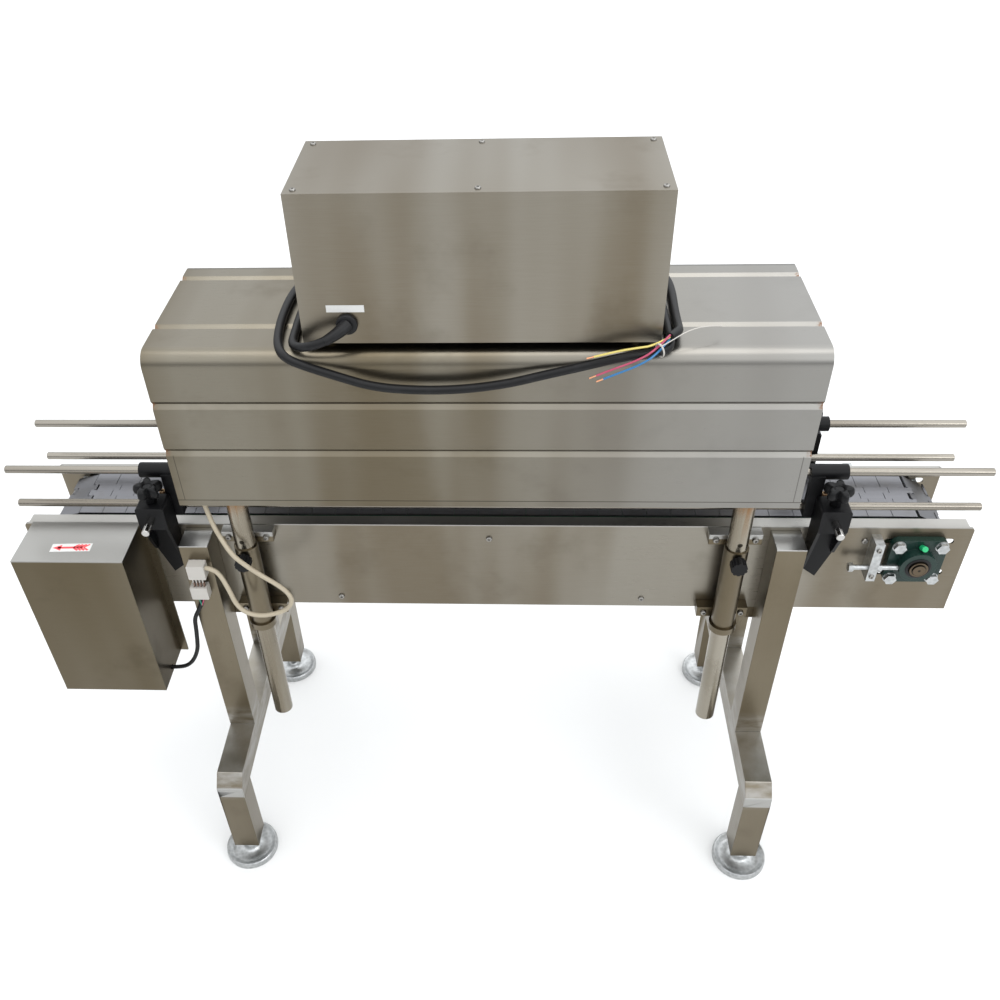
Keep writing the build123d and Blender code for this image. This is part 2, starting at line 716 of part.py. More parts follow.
def hood_section(inset, length, grooves):
    """A solid along X with the hood's outline, inset from its outer face."""
    half = hood_half - inset
    top = hood_top_z - inset
    low = hood_bottom_z
    points = [(-half, low)]
    if grooves:
        for z in sorted(side_grooves):
            points += [(-half, z - groove_half), (-half + groove_depth, z), (-half, z + groove_half)]
    points.append((-half, top))
    if grooves:
        for y in sorted(top_grooves):
            points += [(y - groove_half, top), (y, top - groove_depth), (y + groove_half, top)]
    points.append((half, top))
    if grooves:
        for z in sorted(side_grooves, reverse=True):
            points += [(half, z + groove_half), (half - groove_depth, z), (half, z - groove_half)]
    points.append((half, low))
    body = prism([(hood_x - length / 2, y, z) for y, z in points], (length, 0, 0))
    corner = [edge for edge in body.edges().filter_by(Axis.X)
              if abs(edge.center().Z - top) < 0.01 and abs(abs(edge.center().Y) - half) < 0.01]
    return fillet(corner, hood_corner_r - inset)


def hood_end(end):
    """A flat end plate, open for the tunnel and notched clear of the shell's grooves."""
    gap = 0.2
    plate = hood_section(hood_skin + gap, hood_length - 2 * gap, False)
    x1 = hood_x + end * (hood_end_x - gap)
    x0, x1 = sorted((x1, x1 - end * hood_skin))
    plate = plate & block(x0, x1, -hood_half, hood_half, hood_bottom_z, hood_top_z)
    notch = groove_depth + hood_skin + 3
    reach = groove_half + 1
    for z in side_grooves:
        for side in sides:
            plate -= block(x0 - 1, x1 + 1, side * (hood_half - notch), side * hood_half, z - reach, z + reach)
    for y in top_grooves:
        plate -= block(x0 - 1, x1 + 1, y - reach, y + reach, hood_top_z - notch, hood_top_z)
    opening = liner_half + liner_skin + gap
    top = liner_top_z + liner_skin + gap
    return plate - block(x0 - 1, x1 + 1, -opening, opening, hood_bottom_z - 1, top)


def heater(axis_y, z, flat):
    """A hairpin tube heater whose two ends turn out through the liner."""
    half = heater_length / 2
    b = heater_bend_r
    if flat:
        legs = ((axis_y - b, z), (axis_y + b, z))
        away = (0, 0, heater_drop)
    else:
        legs = ((axis_y, z - b), (axis_y, z + b))
        away = (0, heater_drop if axis_y > 0 else -heater_drop, 0)
    (ya, za), (yb, zb) = legs
    x0, x1 = hood_x - half, hood_x + half
    points = [(x0, ya + away[1], za + away[2]), (x0, ya, za), (x1, ya, za), (x1, yb, zb), (x0, yb, zb),
              (x0, yb + away[1], zb + away[2])]
    path = FilletPolyline(*points, radius=[10, b * 0.9, b * 0.9, 10])
    section = Plane(origin=path @ 0, z_dir=path % 0) * Circle(heater_r)
    holes = [(x0, ya, za), (x0, yb, zb)]
    return sweep(section, path=path), holes, away


def hood():
    shell = hood_section(0, hood_length, True) - hood_section(hood_skin, hood_length + 2, True)
    below = block(hood_x - hood_length, hood_x + hood_length, -hood_half + hood_skin, hood_half - hood_skin,
                  hood_bottom_z - 5, hood_bottom_z + 5)
    save("hood_shell", shell - below)
    save("hood_ends", hood_end(-1), hood_end(1))

    gap = 0.4
    half = hood_end_x - hood_skin - gap
    floor_top = hood_bottom_z + hood_skin
    outer = block(hood_x - half, hood_x + half, -liner_half - liner_skin, liner_half + liner_skin, floor_top,
                  liner_top_z + liner_skin)
    liner = outer - block(hood_x - half - 1, hood_x + half + 1, -liner_half, liner_half, hood_bottom_z - 1, liner_top_z)
    heaters = []
    roof_z = liner_top_z - heater_drop + 6
    side_y = liner_half - heater_drop + 8
    middle = (floor_top + liner_top_z) / 2
    for axis_y, z, flat in ((-35, roof_z, True), (35, roof_z, True), (-side_y, middle + 20, False),
                            (side_y, middle + 20, False)):
        tube_solid, holes, away = heater(axis_y, z, flat)
        heaters.append(tube_solid)
        for x, y, z_hole in holes:
            if flat:
                liner -= bar_z(z_hole, z_hole + 40, x, y, heater_r + 0.3)
            else:
                liner -= bar_y(y, y + 3 * away[1], x, z_hole, heater_r + 0.3)
    save("tunnel_liner", liner)
    save("heaters", *heaters)

    strips = []
    shell_inner = hood_half - hood_skin - 0.1
    for end in sides:
        x1 = hood_x + end * (hood_end_x - hood_skin - gap)
        x0 = x1 - end * floor_strip_length
        strip = block(x0, x1, -shell_inner, -liner_half - liner_skin, hood_bottom_z, floor_top)
        strip -= bar_z(hood_bottom_z - 1, floor_top + 1, end * column_x, -column_y, column_r)
        if end < 0:
            strip -= bar_z(hood_bottom_z - 1, floor_top + 1, lead_points[0][0], lead_points[0][1], lead_hole_r)
        strips.append(strip)
    save("column_plates", *strips)


# ---- control box ----

def control_box():
    x0, x1 = hood_x - box_length / 2, hood_x + box_length / 2
    lid_bottom = box_top_z - lid_thick
    body = block(x0, x1, box_front_y, box_back_y, box_bottom_z, lid_bottom)
    body -= block(x0 + box_skin, x1 - box_skin, box_front_y + box_skin, box_back_y - box_skin,
                  box_bottom_z + box_skin, lid_bottom + 1)
    body -= bar_y(box_front_y - 1, box_front_y + 5, gland_x, gland_z, mains_r + 0.3)
    body -= block(display_x - display_side / 2 + 3, display_x + display_side / 2 - 3, box_back_y - 5, box_back_y + 1,
                  panel_z - display_side / 2 + 3, panel_z + display_side / 2 - 3)
    body -= bar_y(box_back_y - 5, box_back_y + 1, knob_x, panel_z, screw_r + running_gap)
    body -= block(switch_x - 15.3, switch_x + 15.3, box_back_y - 5, box_back_y + 1, panel_z - 11.3, panel_z + 11.3)
    feet = []
    inset = 30
    for x in (x0 + inset, x1 - inset):
        for y in (box_front_y + inset, box_back_y - inset):
            feet.append(bar_z(hood_top_z, box_bottom_z, x, y, 9))
    save("control_box", body, *feet)
    lid = block(x0, x1, box_front_y, box_back_y, lid_bottom, box_top_z)
    places = [(x, y) for x in (x0 + screw_inset, x1 - screw_inset)
              for y in (box_front_y + screw_inset, box_back_y - screw_inset)]
    places += [(hood_x, box_front_y + screw_inset), (hood_x, box_back_y - screw_inset)]
    screws = []
    for x, y in places:
        lid -= bar_z(lid_bottom - 1, box_top_z + 1, x, y, 2.1)
        screw = bar_z(lid_bottom - 6, box_top_z, x, y, 2)
        head = bar_z(box_top_z, box_top_z + 2.2, x, y, screw_r)
        screws.append(screw + fillet(head.edges().group_by(Axis.Z)[-1], 1))
    save("control_lid", lid)
    save("lid_screws", *screws)

    bezel = block(display_x - display_side / 2, display_x + display_side / 2, box_back_y, box_back_y + 6,
                  panel_z - display_side / 2, panel_z + display_side / 2)
    tail = block(display_x - display_side / 2 + 4, display_x + display_side / 2 - 4, box_back_y - 60, box_back_y,
                 panel_z - display_side / 2 + 4, panel_z + display_side / 2 - 4)
    save("temperature_display", bezel + tail)
    grip = bar_y(box_back_y + 1, box_back_y + 1 + dial_length, knob_x, panel_z, dial_r)
    grip = fillet(grip.edges().group_by(Axis.Y)[-1], 2)
    pointer = block(knob_x - 1, knob_x + 1, box_back_y + 1, box_back_y + dial_length + 2, panel_z, panel_z + dial_r)
    save("speed_knob", grip + pointer + bar_y(box_back_y - 12, box_back_y + 2, knob_x, panel_z, screw_r))
    rocker = block(switch_x - 11, switch_x + 11, box_back_y - 3, box_back_y + 3.5, panel_z - 7, panel_z + 7)
    save("power_switch", fillet(rocker.edges().filter_by(Axis.X), 1.5))
    gear = [block(switch_x - 15, switch_x + 15, box_back_y, box_back_y + 1.5, panel_z - 11, panel_z + 11)
            - block(switch_x - 11.5, switch_x + 11.5, box_back_y - 1, box_back_y + 3, panel_z - 7.5, panel_z + 7.5)]
    floor = box_bottom_z + box_skin
    middle_y = (box_front_y + box_back_y) / 2
    gear.append(block(x0 + 20, x1 - 20, middle_y - 55, middle_y + 30, floor, floor + 2))
    for x, width, height in ((-180, 60, 70), (-100, 44, 60), (0, 80, 45), (110, 45, 85), (180, 60, 30)):
        gear.append(block(x - width / 2, x + width / 2, middle_y - 40, middle_y + 15, floor + 2, floor + 2 + height))
    save("control_gear", *gear)
    gland = bar_y(box_front_y, box_front_y - gland_length, gland_x, gland_z, gland_r)
    gland = fillet(gland.edges().group_by(Axis.Y)[0], 2)
    gland -= bar_y(box_front_y + 5, box_front_y - 20, gland_x, gland_z, mains_r + 0.02)
    save("mains_gland", gland)


# ---- fasteners on the frame ----

def machine_screws():
    screws = []
    for side in sides:
        face = side * plate_y
        for x in upper_spacer_x[1:]:
            screws.append(bar_y(face, face + side * 3, x, upper_spacer_z, 5))
        for x in lower_spacer_x:
            screws.append(bar_y(face, face + side * 3, x, lower_spacer_z, 5))
        x = shaft_x - takeup_back - takeup_width / 2
        for z in (takeup_bottom_z + 10, takeup_top_z - 12):
            screws.append(bar_y(face + side * takeup_depth, face + side * (takeup_depth + 3), x, z, 4))
    face = -plate_y - bracket_block_depth
    for end in sides:
        for z in (upper_block_z, lower_block_z):
            for dx in sides:
                screws.append(bar_y(face, face - 4, end * column_x + dx * 30, z, 5))
    save("machine_screws", *screws)


# ---- cords ----

lift_z = hood_top_z + mains_r + 1
mains_points = [
    (gland_x, box_front_y - gland_length + 2, gland_z), (-183, -142, 1071), (-201.5, -152.5, 1064),
    (-223, -152.5, 1056), (-241.5, -141.5, 1049), (-252, -123, 1043.5), (-254, -95, 1041.5), (-255, -52, lift_z),
    (-254, -5, 1041.5), (-258, 32, lift_z), (-253, 58, lift_z), (-236, 78, lift_z), (-208, 86, lift_z), (-160, 80, lift_z),
    (-80, 72, lift_z), (40, 70, lift_z), (130, 76, lift_z), (196, 86, lift_z), (226, 78, lift_z),
    (241, 58, lift_z), (246, 32, lift_z), (245.5, -5, lift_z), (246.5, -45, lift_z), (249, -84, lift_z),
    (248, -116, lift_z), (236, -141, 1043), (211, -152, 1044), (180, -153, 1041), (135, -151, 1027),
    (78, -150, 1011.5), (30, -150.5, 998.5), (-30, -150, 989.5), (-90, -150, 988.5), (-147, -150, 994),
    (-195, -152, 1013), (-231, -158, 1031), (-262, -153, 1040), (-281, -125, lift_z), (-290, -82, lift_z),
    (-293, -30, lift_z), (-288, 25, lift_z), (-268, 76, lift_z), (-238, 99, lift_z), (-200, 107, lift_z),
    (-140, 105, lift_z), (-60, 99, lift_z), (40, 100, lift_z), (130, 105, lift_z), (194, 109, lift_z),
    (232, 101, lift_z), (256, 80, lift_z), (265, 50, lift_z), (266, 14, lift_z), (264, -28, lift_z),
    (264, -62, 1042.5), (261, -92, 1048), (252, -116, 1056), (238, -134, 1058),
]
lead_points = [
    (-431, -112, 779), (-430, -112.5, 764), (-427, -114, 744), (-421, -120, 723), (-409, -131, 703), (-392, -147, 686),
    (-370, -157, 673), (-348, -161, 656.5), (-328, -162, 640.5), (-313, -162, 623), (-308, -162, 604),
    (-318, -162, 586), (-341, -161, 573), (-368, -160, 567), (-390, -158, 573), (-402, -156, 589),
    (-407, -153.5, 608), (-413, -149, 625), (-421, -142, 638), (-432, -136, 646), (-446, -134.2, 647.5),
]
motor_lead_points = [
    (-465, -133, 583), (-466, -133.5, 571), (-474, -135, 556), (-486, -136, 535), (-489, -135, 510),
    (-493, -134, 483), (-498, -133, 455), (-511, -132, 427), (-526, -131, 411), (-543, -130.3, 406.5), (-556, -130, 406),
]
wire_routes = [
    [0, (216, -152, 1056), (196, -157, 1056), (172, -159, 1053), (141, -160, 1045)],
    [3, (216, -160, 1052), (192, -164, 1040), (168, -164, 1030), (145, -164, 1019.5)],
    [-3, (219, -164, 1050), (199, -168, 1038), (176, -168, 1027), (154, -168, 1017)],
]


def cords():
    save("mains_cord", cord(mains_points, mains_r, "mains_cord"))
    save("control_lead", cord(lead_points, lead_r, "control_lead"))
    save("motor_lead", cord(motor_lead_points, motor_lead_r, "motor_lead"))
    wires = []
    x, y, z = mains_points[-1]
    for dz, *rest in wire_routes:
        start = (x, y, z + dz)
        wires.append(cord([start, *rest], wire_r, "cord_wire"))
    save("cord_wires", *wires)
    seat = -plate_y - tube - 0.3
    pin_y = seat - 10.2
    x = -upright_x
    plug = block(x - 13, x + 15, seat - 17.7, seat, 628, 656)
    plug = fillet(plug.edges().filter_by(Axis.Y), 2)
    for k in range(4):
        pin_x = x - 10 + 5.2 * k
        plug += block(pin_x - 1, pin_x + 1, pin_y - 1.5, pin_y + 1.5, 606, 628)
    save("lead_plug", plug)
    socket = block(x - 17, x + 11, seat - 16.7, seat, 583, 608)
    for k in range(4):
        pin_x = x - 10 + 5.2 * k
        socket -= block(pin_x - 1.3, pin_x + 1.3, pin_y - 1.8, pin_y + 1.8, 605.5, 609)
    save("lead_socket", fillet(socket.edges().filter_by(Axis.Y).group_by(Axis.Z)[0], 2))


def main():
    os.makedirs("parts", exist_ok=True)
    chain()
    save("side_plate_near", side_plate(-1))
    save("side_plate_far", side_plate(1))
    supports()
    bearings()
    frame()
    for end, end_name in ((-1, "left"), (1, "right")):
        for side, side_name in ((-1, "near"), (1, "far")):
            save(f"foot_{end_name}_{side_name}", foot(end * upright_x, side * foot_y))
    drive()
    guides()
    columns()
    hood()
    control_box()
    machine_screws()
    cords()


main()
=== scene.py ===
import json
import math

import bmesh
import bpy
from mathutils import Matrix, Vector

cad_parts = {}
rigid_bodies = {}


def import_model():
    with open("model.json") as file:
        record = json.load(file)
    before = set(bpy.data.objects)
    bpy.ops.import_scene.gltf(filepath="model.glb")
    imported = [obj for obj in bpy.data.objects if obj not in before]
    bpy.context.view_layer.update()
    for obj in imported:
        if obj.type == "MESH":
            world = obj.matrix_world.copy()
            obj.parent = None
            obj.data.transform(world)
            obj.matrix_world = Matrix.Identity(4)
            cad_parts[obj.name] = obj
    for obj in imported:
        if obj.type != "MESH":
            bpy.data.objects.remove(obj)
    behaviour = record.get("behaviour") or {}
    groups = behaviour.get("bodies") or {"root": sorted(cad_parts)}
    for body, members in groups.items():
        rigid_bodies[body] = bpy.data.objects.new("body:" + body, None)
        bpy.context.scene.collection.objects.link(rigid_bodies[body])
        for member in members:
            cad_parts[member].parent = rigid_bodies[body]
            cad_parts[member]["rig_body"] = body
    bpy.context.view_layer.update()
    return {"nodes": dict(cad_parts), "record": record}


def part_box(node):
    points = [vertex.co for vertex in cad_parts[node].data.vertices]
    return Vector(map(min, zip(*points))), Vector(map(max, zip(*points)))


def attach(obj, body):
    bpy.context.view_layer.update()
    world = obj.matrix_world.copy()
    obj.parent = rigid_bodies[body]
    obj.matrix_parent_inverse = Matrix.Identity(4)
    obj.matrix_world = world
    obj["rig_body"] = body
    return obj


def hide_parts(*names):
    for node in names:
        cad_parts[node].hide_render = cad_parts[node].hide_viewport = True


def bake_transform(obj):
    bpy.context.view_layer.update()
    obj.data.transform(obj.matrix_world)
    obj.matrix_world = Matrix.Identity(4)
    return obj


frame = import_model()
nodes = frame["nodes"]
mm = 0.001


class Wire:  # a socket that can be used in a Python expression
    def __init__(self, tree, socket=None):
        self.tree, self.socket = tree, socket

    def node(self, kind, settings=None, values=None, out=0):
        made = self.tree.nodes.new(kind)
        for key, value in (settings or {}).items():
            setattr(made, key, value)
        for key, value in (values or {}).items():
            if isinstance(value, Wire):
                self.tree.links.new(value.socket, made.inputs[key])
            else:
                made.inputs[key].default_value = value
        return Wire(self.tree, made.outputs[out])

    def maths(self, operation, a, b=0.0):
        return self.node("ShaderNodeMath", {"operation": operation}, {0: a, 1: b})

    def __add__(self, other): return self.maths("ADD", self, other)
    def __radd__(self, other): return self.maths("ADD", other, self)
    def __sub__(self, other): return self.maths("SUBTRACT", self, other)
    def __rsub__(self, other): return self.maths("SUBTRACT", other, self)
    def __mul__(self, other): return self.maths("MULTIPLY", self, other)
    def __rmul__(self, other): return self.maths("MULTIPLY", other, self)
    def __abs__(self): return self.maths("ABSOLUTE", self)

    def least(self, other): return self.maths("MINIMUM", self, other)
    def most(self, other): return self.maths("MAXIMUM", self, other)

    def step(self, low, high, start=0.0, end=1.0):
        # rises smoothly from start to end as the value goes from low to high
        return self.node("ShaderNodeMapRange", {"interpolation_type": "SMOOTHSTEP"},
                         {"Value": self, "From Min": low, "From Max": high, "To Min": start,
                          "To Max": end})

    def stretched(self, scales):
        return self.node("ShaderNodeMapping", {}, {"Vector": self, "Scale": scales})

    def noise(self, scale=1.0, detail=2.0, rough=0.5):
        return self.node("ShaderNodeTexNoise", {}, {"Vector": self, "Scale": scale, "Detail": detail,
                                                    "Roughness": rough})

    def cells(self, scale=1.0):
        return self.node("ShaderNodeTexVoronoi", {}, {"Vector": self, "Scale": scale})

    def blend(self, factor, a, b):
        # colour a turns into colour b
        return self.node("ShaderNodeMix", {"data_type": "RGBA"}, {0: factor, 6: a, 7: b}, 2)

    def axes(self):
        parts = self.node("ShaderNodeSeparateXYZ", {}, {0: self}).socket.node
        return [Wire(self.tree, out) for out in parts.outputs]


def rgb(r, g, b):
    return (r, g, b, 1.0)


def material(name, recipe, **fixed):
    made = bpy.data.materials.new(name)
    made.use_nodes = True
    tree = made.node_tree
    shader = tree.nodes["Principled BSDF"]
    point = Wire(tree).node("ShaderNodeTexCoord", out=3)
    for key, value in fixed.items():
        shader.inputs[key.replace("_", " ")].default_value = value
    result = recipe(point)
    bump = result.pop("bump", None)
    for key, value in result.items():
        if isinstance(value, Wire):
            tree.links.new(value.socket, shader.inputs[key])
        else:
            shader.inputs[key].default_value = value
    if bump:
        height, strength, distance = bump
        raised = point.node("ShaderNodeBump", {}, {"Height": height, "Strength": strength,
                                                   "Distance": distance})
        tree.links.new(raised.socket, shader.inputs["Normal"])
    return made


steelWarm = rgb(0.150, 0.124, 0.086)
steelCool = rgb(0.262, 0.246, 0.212)
rust = rgb(0.16, 0.065, 0.02)
# painted shade: near-black put into gaps, holes and the hood's hem line
shadeBlack = rgb(0.03, 0.026, 0.02)


def brushed(point, grain=(24, 760, 760), bands=(7.0, 0.7, 0.7), low=steelWarm, high=steelCool,
            rough=0.33, smudge=0.25):
    # rolled stainless: fine scratches one way, wide random bands of tone across them that stand for the
    # sheet's reflection bands (painted reflection), and handling smudges
    fine = point.stretched(grain).noise(1.0, 3.0, 0.6)
    # painted reflection: wide soft bands of lighter and darker tone
    reflectionBands = point.stretched(bands).noise(1.0, 2.0, 0.45).step(0.36, 0.64)
    cloud = point.noise(9.0, 4.0, 0.6).step(0.52, 0.78)
    tone = reflectionBands * 0.75 + fine * 0.25
    colour = point.blend(tone, low, high)
    colour = point.blend(cloud * smudge, colour, rgb(low[0] * 0.62, low[1] * 0.60, low[2] * 0.55))
    roughness = rough + (fine - 0.5) * 0.10 + cloud * 0.08 - reflectionBands * 0.04
    return {"Base Color": colour, "Roughness": roughness, "Metallic": 1.0, "bump": (fine, 0.10, 0.0004)}


def guardSteel(point):
    # the guard is painted darker than the other sheet, which is painted shade on its front, and its top
    # face is painted lighter, which is painted light
    result = brushed(point, low=rgb(0.098, 0.078, 0.046), high=rgb(0.140, 0.120, 0.086), smudge=0.4)
    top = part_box("motor_guard")[1].z
    # painted light: the top face is painted lighter than the front
    onTop = point.axes()[2].step(top - 3 * mm, top - mm)
    result["Base Color"] = point.blend(onTop, result["Base Color"], rgb(0.31, 0.305, 0.29))
    return result


def plateSteel(point):
    # the rolled top edge is painted lighter: a painted highlight along it
    result = brushed(point)
    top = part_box("side_plate_near")[1].z
    edge = point.axes()[2].step(top - 3 * mm, top - mm)
    result["Base Color"] = point.blend(edge * 0.8, result["Base Color"], rgb(0.38, 0.375, 0.36))
    return result


shaftLook = {"seam": 0.0103, "drilled": 0.0022}  # radii


def shaftSteel(point):
    # bearing ring and shaft end: dull brown steel, with painted shade in the seam between them and in a
    # drilled centre
    result = brushed(point, grain=(500, 60, 500), low=rgb(0.10, 0.075, 0.05),
                     high=rgb(0.20, 0.165, 0.125), smudge=0.5)
    x, y, z = point.axes()
    low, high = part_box("idler_shaft")
    fromAxis = {0: abs(x) - (low.x + high.x) / 2, 2: z - (low.z + high.z) / 2}
    place = point.node("ShaderNodeCombineXYZ", {}, fromAxis)
    away = place.node("ShaderNodeVectorMath", {"operation": "LENGTH"}, {0: place}, 1)
    seam = abs(away - shaftLook["seam"]).step(0.4 * mm, 1.1 * mm, 1.0, 0.0)
    drilled = away.step(shaftLook["drilled"] - 0.4 * mm, shaftLook["drilled"] + 0.4 * mm, 1.0, 0.0)
    # painted shade: the seam gap and the drilled centre are painted near-black
    result["Base Color"] = point.blend(seam.most(drilled), result["Base Color"], shadeBlack)
    return result


def screwSteel(point):
    fine = point.noise(420.0, 3.0)
    return {"Base Color": point.blend(fine, rgb(0.20, 0.19, 0.175), rgb(0.38, 0.37, 0.35)),
            "Roughness": 0.26 + fine * 0.2, "Metallic": 1.0}


def contactBrown(point):
    tarnish = point.noise(700.0, 3.0)
    return {"Base Color": point.blend(tarnish, rgb(0.10, 0.055, 0.04), rgb(0.28, 0.19, 0.15)),
            "Roughness": 0.4 + tarnish * 0.2, "Metallic": 0.6}


hoodLook = {"upperGroove": 0.954, "lowerGroove": 0.874, "frontGroove": -0.0595, "backGroove": 0.0845,
            "hem": 0.0105, "grooveHalf": 0.004, "grooveFade": 0.0075}


def hoodSteel(point):
    # sheet with rolled grooves and rust where they end, painted lighter towards the right as a painted
    # reflection, and painted shadow lines along the folded hem at the lower edges and along the end
    # folds
    result = brushed(point, low=rgb(0.116, 0.094, 0.060), high=rgb(0.200, 0.184, 0.150), smudge=0.3)
    low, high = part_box("hood_shell")
    x, y, z = point.axes()
    look, fade = hoodLook, (hoodLook["grooveHalf"], hoodLook["grooveFade"], 1.0, 0.0)
    # painted reflection: the hood is painted lighter and cooler towards its right end
    paintedReflection = x.step(low.x * 0.2, high.x, 0.0, 0.7)
    colour = point.blend(paintedReflection, result["Base Color"], rgb(0.262, 0.260, 0.254))
    fromEnd = (high.x - low.x) / 2 - abs(x - (low.x + high.x) / 2)
    nearEnd = fromEnd.step(0.0, 9 * mm, 1.0, 0.0)
    inSide = abs(z - look["upperGroove"]).least(abs(z - look["lowerGroove"])).step(*fade)
    inTop = abs(y - look["frontGroove"]).least(abs(y - look["backGroove"])).step(*fade)
    onTop = z.step(high.z - 12 * mm, high.z - 8 * mm)
    groove = (inSide * (1 - onTop) + inTop * onTop).least(1.0)
    speckle = point.noise(260.0, 3.0).step(0.35, 0.6)
    stain = (groove * nearEnd * speckle).least(1.0)
    colour = point.blend(stain, colour, rust)
    # painted shadow: a dark line along the hem's edge above each lower edge
    hem = abs(z - low.z - look["hem"]).step(0.4 * mm, mm, 0.75, 0.0)
    belowGroove = 1 - z.step(look["lowerGroove"] - 6 * mm, look["lowerGroove"] - 5 * mm)
    aboveHem = (z - low.z).step(9.8 * mm, 10.4 * mm)
    # painted shadow: dark lines along the end folds below the lower groove
    fold = abs(fromEnd - look["hem"]).step(0.3 * mm, 0.9 * mm, 0.55, 0.0) * belowGroove * aboveHem
    colour = point.blend(hem.most(fold), colour, shadeBlack)
    # painted highlight: the grooves are painted slightly paler where not rusted
    colour = point.blend(groove * 0.04 * (1 - stain), colour, rgb(0.60, 0.56, 0.47))
    return {**result, "Base Color": colour, "Metallic": 1 - stain * 0.9}


tubeLook = {"beamDeep": 0.046, "weldNear": 0.02, "weldFar": 0.06}


def tubeSteel(point):
    # square tube: grain along the tube, polished patches where the welds were cleaned, and painted
    # highlights on the tube ends, the upright tops and along the beam tops
    result = brushed(point, grain=(700, 700, 26), bands=(4, 4, 2.2), low=rgb(0.122, 0.099, 0.064),
                     high=rgb(0.182, 0.156, 0.112), smudge=0.35)
    x, y, z = point.axes()
    end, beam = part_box("base_frames")[1].y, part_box("base_frames")[1].z
    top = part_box("uprights")[1].z
    weld = abs(z - beam).step(tubeLook["weldNear"], tubeLook["weldFar"], 1.0, 0.0)
    patch = weld * point.stretched((16, 16, 60)).noise(1.0, 4.0, 0.55).step(0.30, 0.70) * 0.8
    colour = point.blend(patch, result["Base Color"], rgb(0.36, 0.35, 0.33))
    dark = weld * point.noise(30.0, 5.0, 0.6).step(0.55, 0.75) * 0.3
    colour = point.blend(dark, colour, rgb(0.07, 0.06, 0.045))
    beamBottom = beam - tubeLook["beamDeep"]
    ends = abs(y).step(end - 2 * mm, end - mm) * z.step(beamBottom - mm, beamBottom)
    tops = z.step(top - 2 * mm, top - mm)
    # painted light: a lighter band along the top of each beam
    upper = z.step(beam - 1.5 * mm, beam - 0.5 * mm) * (1 - z.step(beam + mm, beam + 2 * mm))
    colour = point.blend(upper * 0.5, colour, rgb(0.34, 0.325, 0.29))
    # painted highlight: the beam ends and the upright tops are painted bright
    colour = point.blend(ends.most(tops) * 0.85, colour, rgb(0.40, 0.40, 0.39))
    return {**result, "Base Color": colour, "Roughness": result["Roughness"] + patch * 0.08}


columnLook = {"holeX": 0.381, "holeY": -0.126, "holeZ": 0.694, "holeRadius": 0.0039}


def roundSteel(point):
    # drawn tube with long draw marks, heat stain below the hood, and an index hole above each sleeve
    # shown as a painted shade spot
    result = brushed(point, grain=(800, 800, 14), bands=(26, 26, 1.6), low=rgb(0.20, 0.172, 0.128),
                     high=rgb(0.34, 0.315, 0.265), rough=0.27, smudge=0.3)
    z = point.axes()[2]
    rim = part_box("hood_shell")[0].z
    streak = point.stretched((120, 120, 9)).noise(1.0, 3.0).step(0.46, 0.62)
    ring = z.step(rim - 34 * mm, rim + 4 * mm) * (1 - z.step(rim + 20 * mm, rim + 50 * mm))
    run = z.step(rim - 90 * mm, rim - 10 * mm) * streak * 0.55
    mark = (ring * 0.9 + run).least(1.0)
    colour = point.blend(mark, result["Base Color"], rgb(0.20, 0.105, 0.04))
    # painted shade: a dark spot stands for the index hole
    for side in (-1, 1):
        spot = (side * columnLook["holeX"], columnLook["holeY"], columnLook["holeZ"])
        away = point.node("ShaderNodeVectorMath", {"operation": "DISTANCE"}, {0: point, 1: spot}, 1)
        radius = columnLook["holeRadius"]
        colour = point.blend(away.step(radius - 0.7 * mm, radius + 0.7 * mm, 1.0, 0.0), colour, shadeBlack)
    return {**result, "Base Color": colour, "Metallic": 1 - mark * 0.7}


def rodSteel(point):
    return brushed(point, grain=(20, 900, 900), bands=(3, 20, 20), low=rgb(0.185, 0.165, 0.138),
                   high=rgb(0.300, 0.278, 0.242), rough=0.24, smudge=0.12)


def chromed(point):
    fine = point.stretched((300, 40, 300)).noise(1.0, 2.0)
    return {"Base Color": point.blend(fine, rgb(0.42, 0.41, 0.395), rgb(0.54, 0.53, 0.51)),
            "Roughness": 0.12 + fine * 0.08, "Metallic": 1.0}


def slatSteel(point):
    # flat pressed slats: cleaner and cooler than the sheet, with carrying scuffs along the run
    scuff = point.stretched((14, 420, 60)).noise(1.0, 4.0, 0.65)
    cloud = point.noise(30.0, 3.0).step(0.45, 0.75)
    colour = point.blend(scuff, rgb(0.155, 0.156, 0.166), rgb(0.225, 0.226, 0.240))
    colour = point.blend(cloud * 0.3, colour, rgb(0.15, 0.14, 0.125))
    return {"Base Color": colour, "Roughness": 0.26 + scuff * 0.14, "Metallic": 1.0,
            "bump": (scuff, 0.08, 0.0003)}


def zincPlate(point):
    spangle = point.cells(160.0)
    cloud = point.noise(42.0, 3.0)
    colour = point.blend(spangle, rgb(0.33, 0.34, 0.34), rgb(0.52, 0.53, 0.53))
    colour = point.blend(cloud.step(0.5, 0.75) * 0.4, colour, rgb(0.30, 0.30, 0.30))
    return {"Base Color": colour, "Roughness": 0.28 + cloud * 0.22, "Metallic": 1.0,
            "bump": (cloud, 0.12, 0.0006)}


def rustyScrew(point):
    grime = point.noise(380.0, 3.0).step(0.35, 0.65)
    return {"Base Color": point.blend(grime, rgb(0.34, 0.24, 0.14), rgb(0.14, 0.07, 0.03)),
            "Roughness": 0.45 + grime * 0.3, "Metallic": 1 - grime * 0.6, "bump": (grime, 0.3, 0.0004)}


def castAlloy(point):
    grit = point.noise(520.0, 3.0)
    return {"Base Color": point.blend(grit, rgb(0.30, 0.31, 0.32), rgb(0.42, 0.43, 0.44)),
            "Roughness": 0.45 + grit * 0.15, "Metallic": 1.0, "bump": (grit, 0.35, 0.0006)}


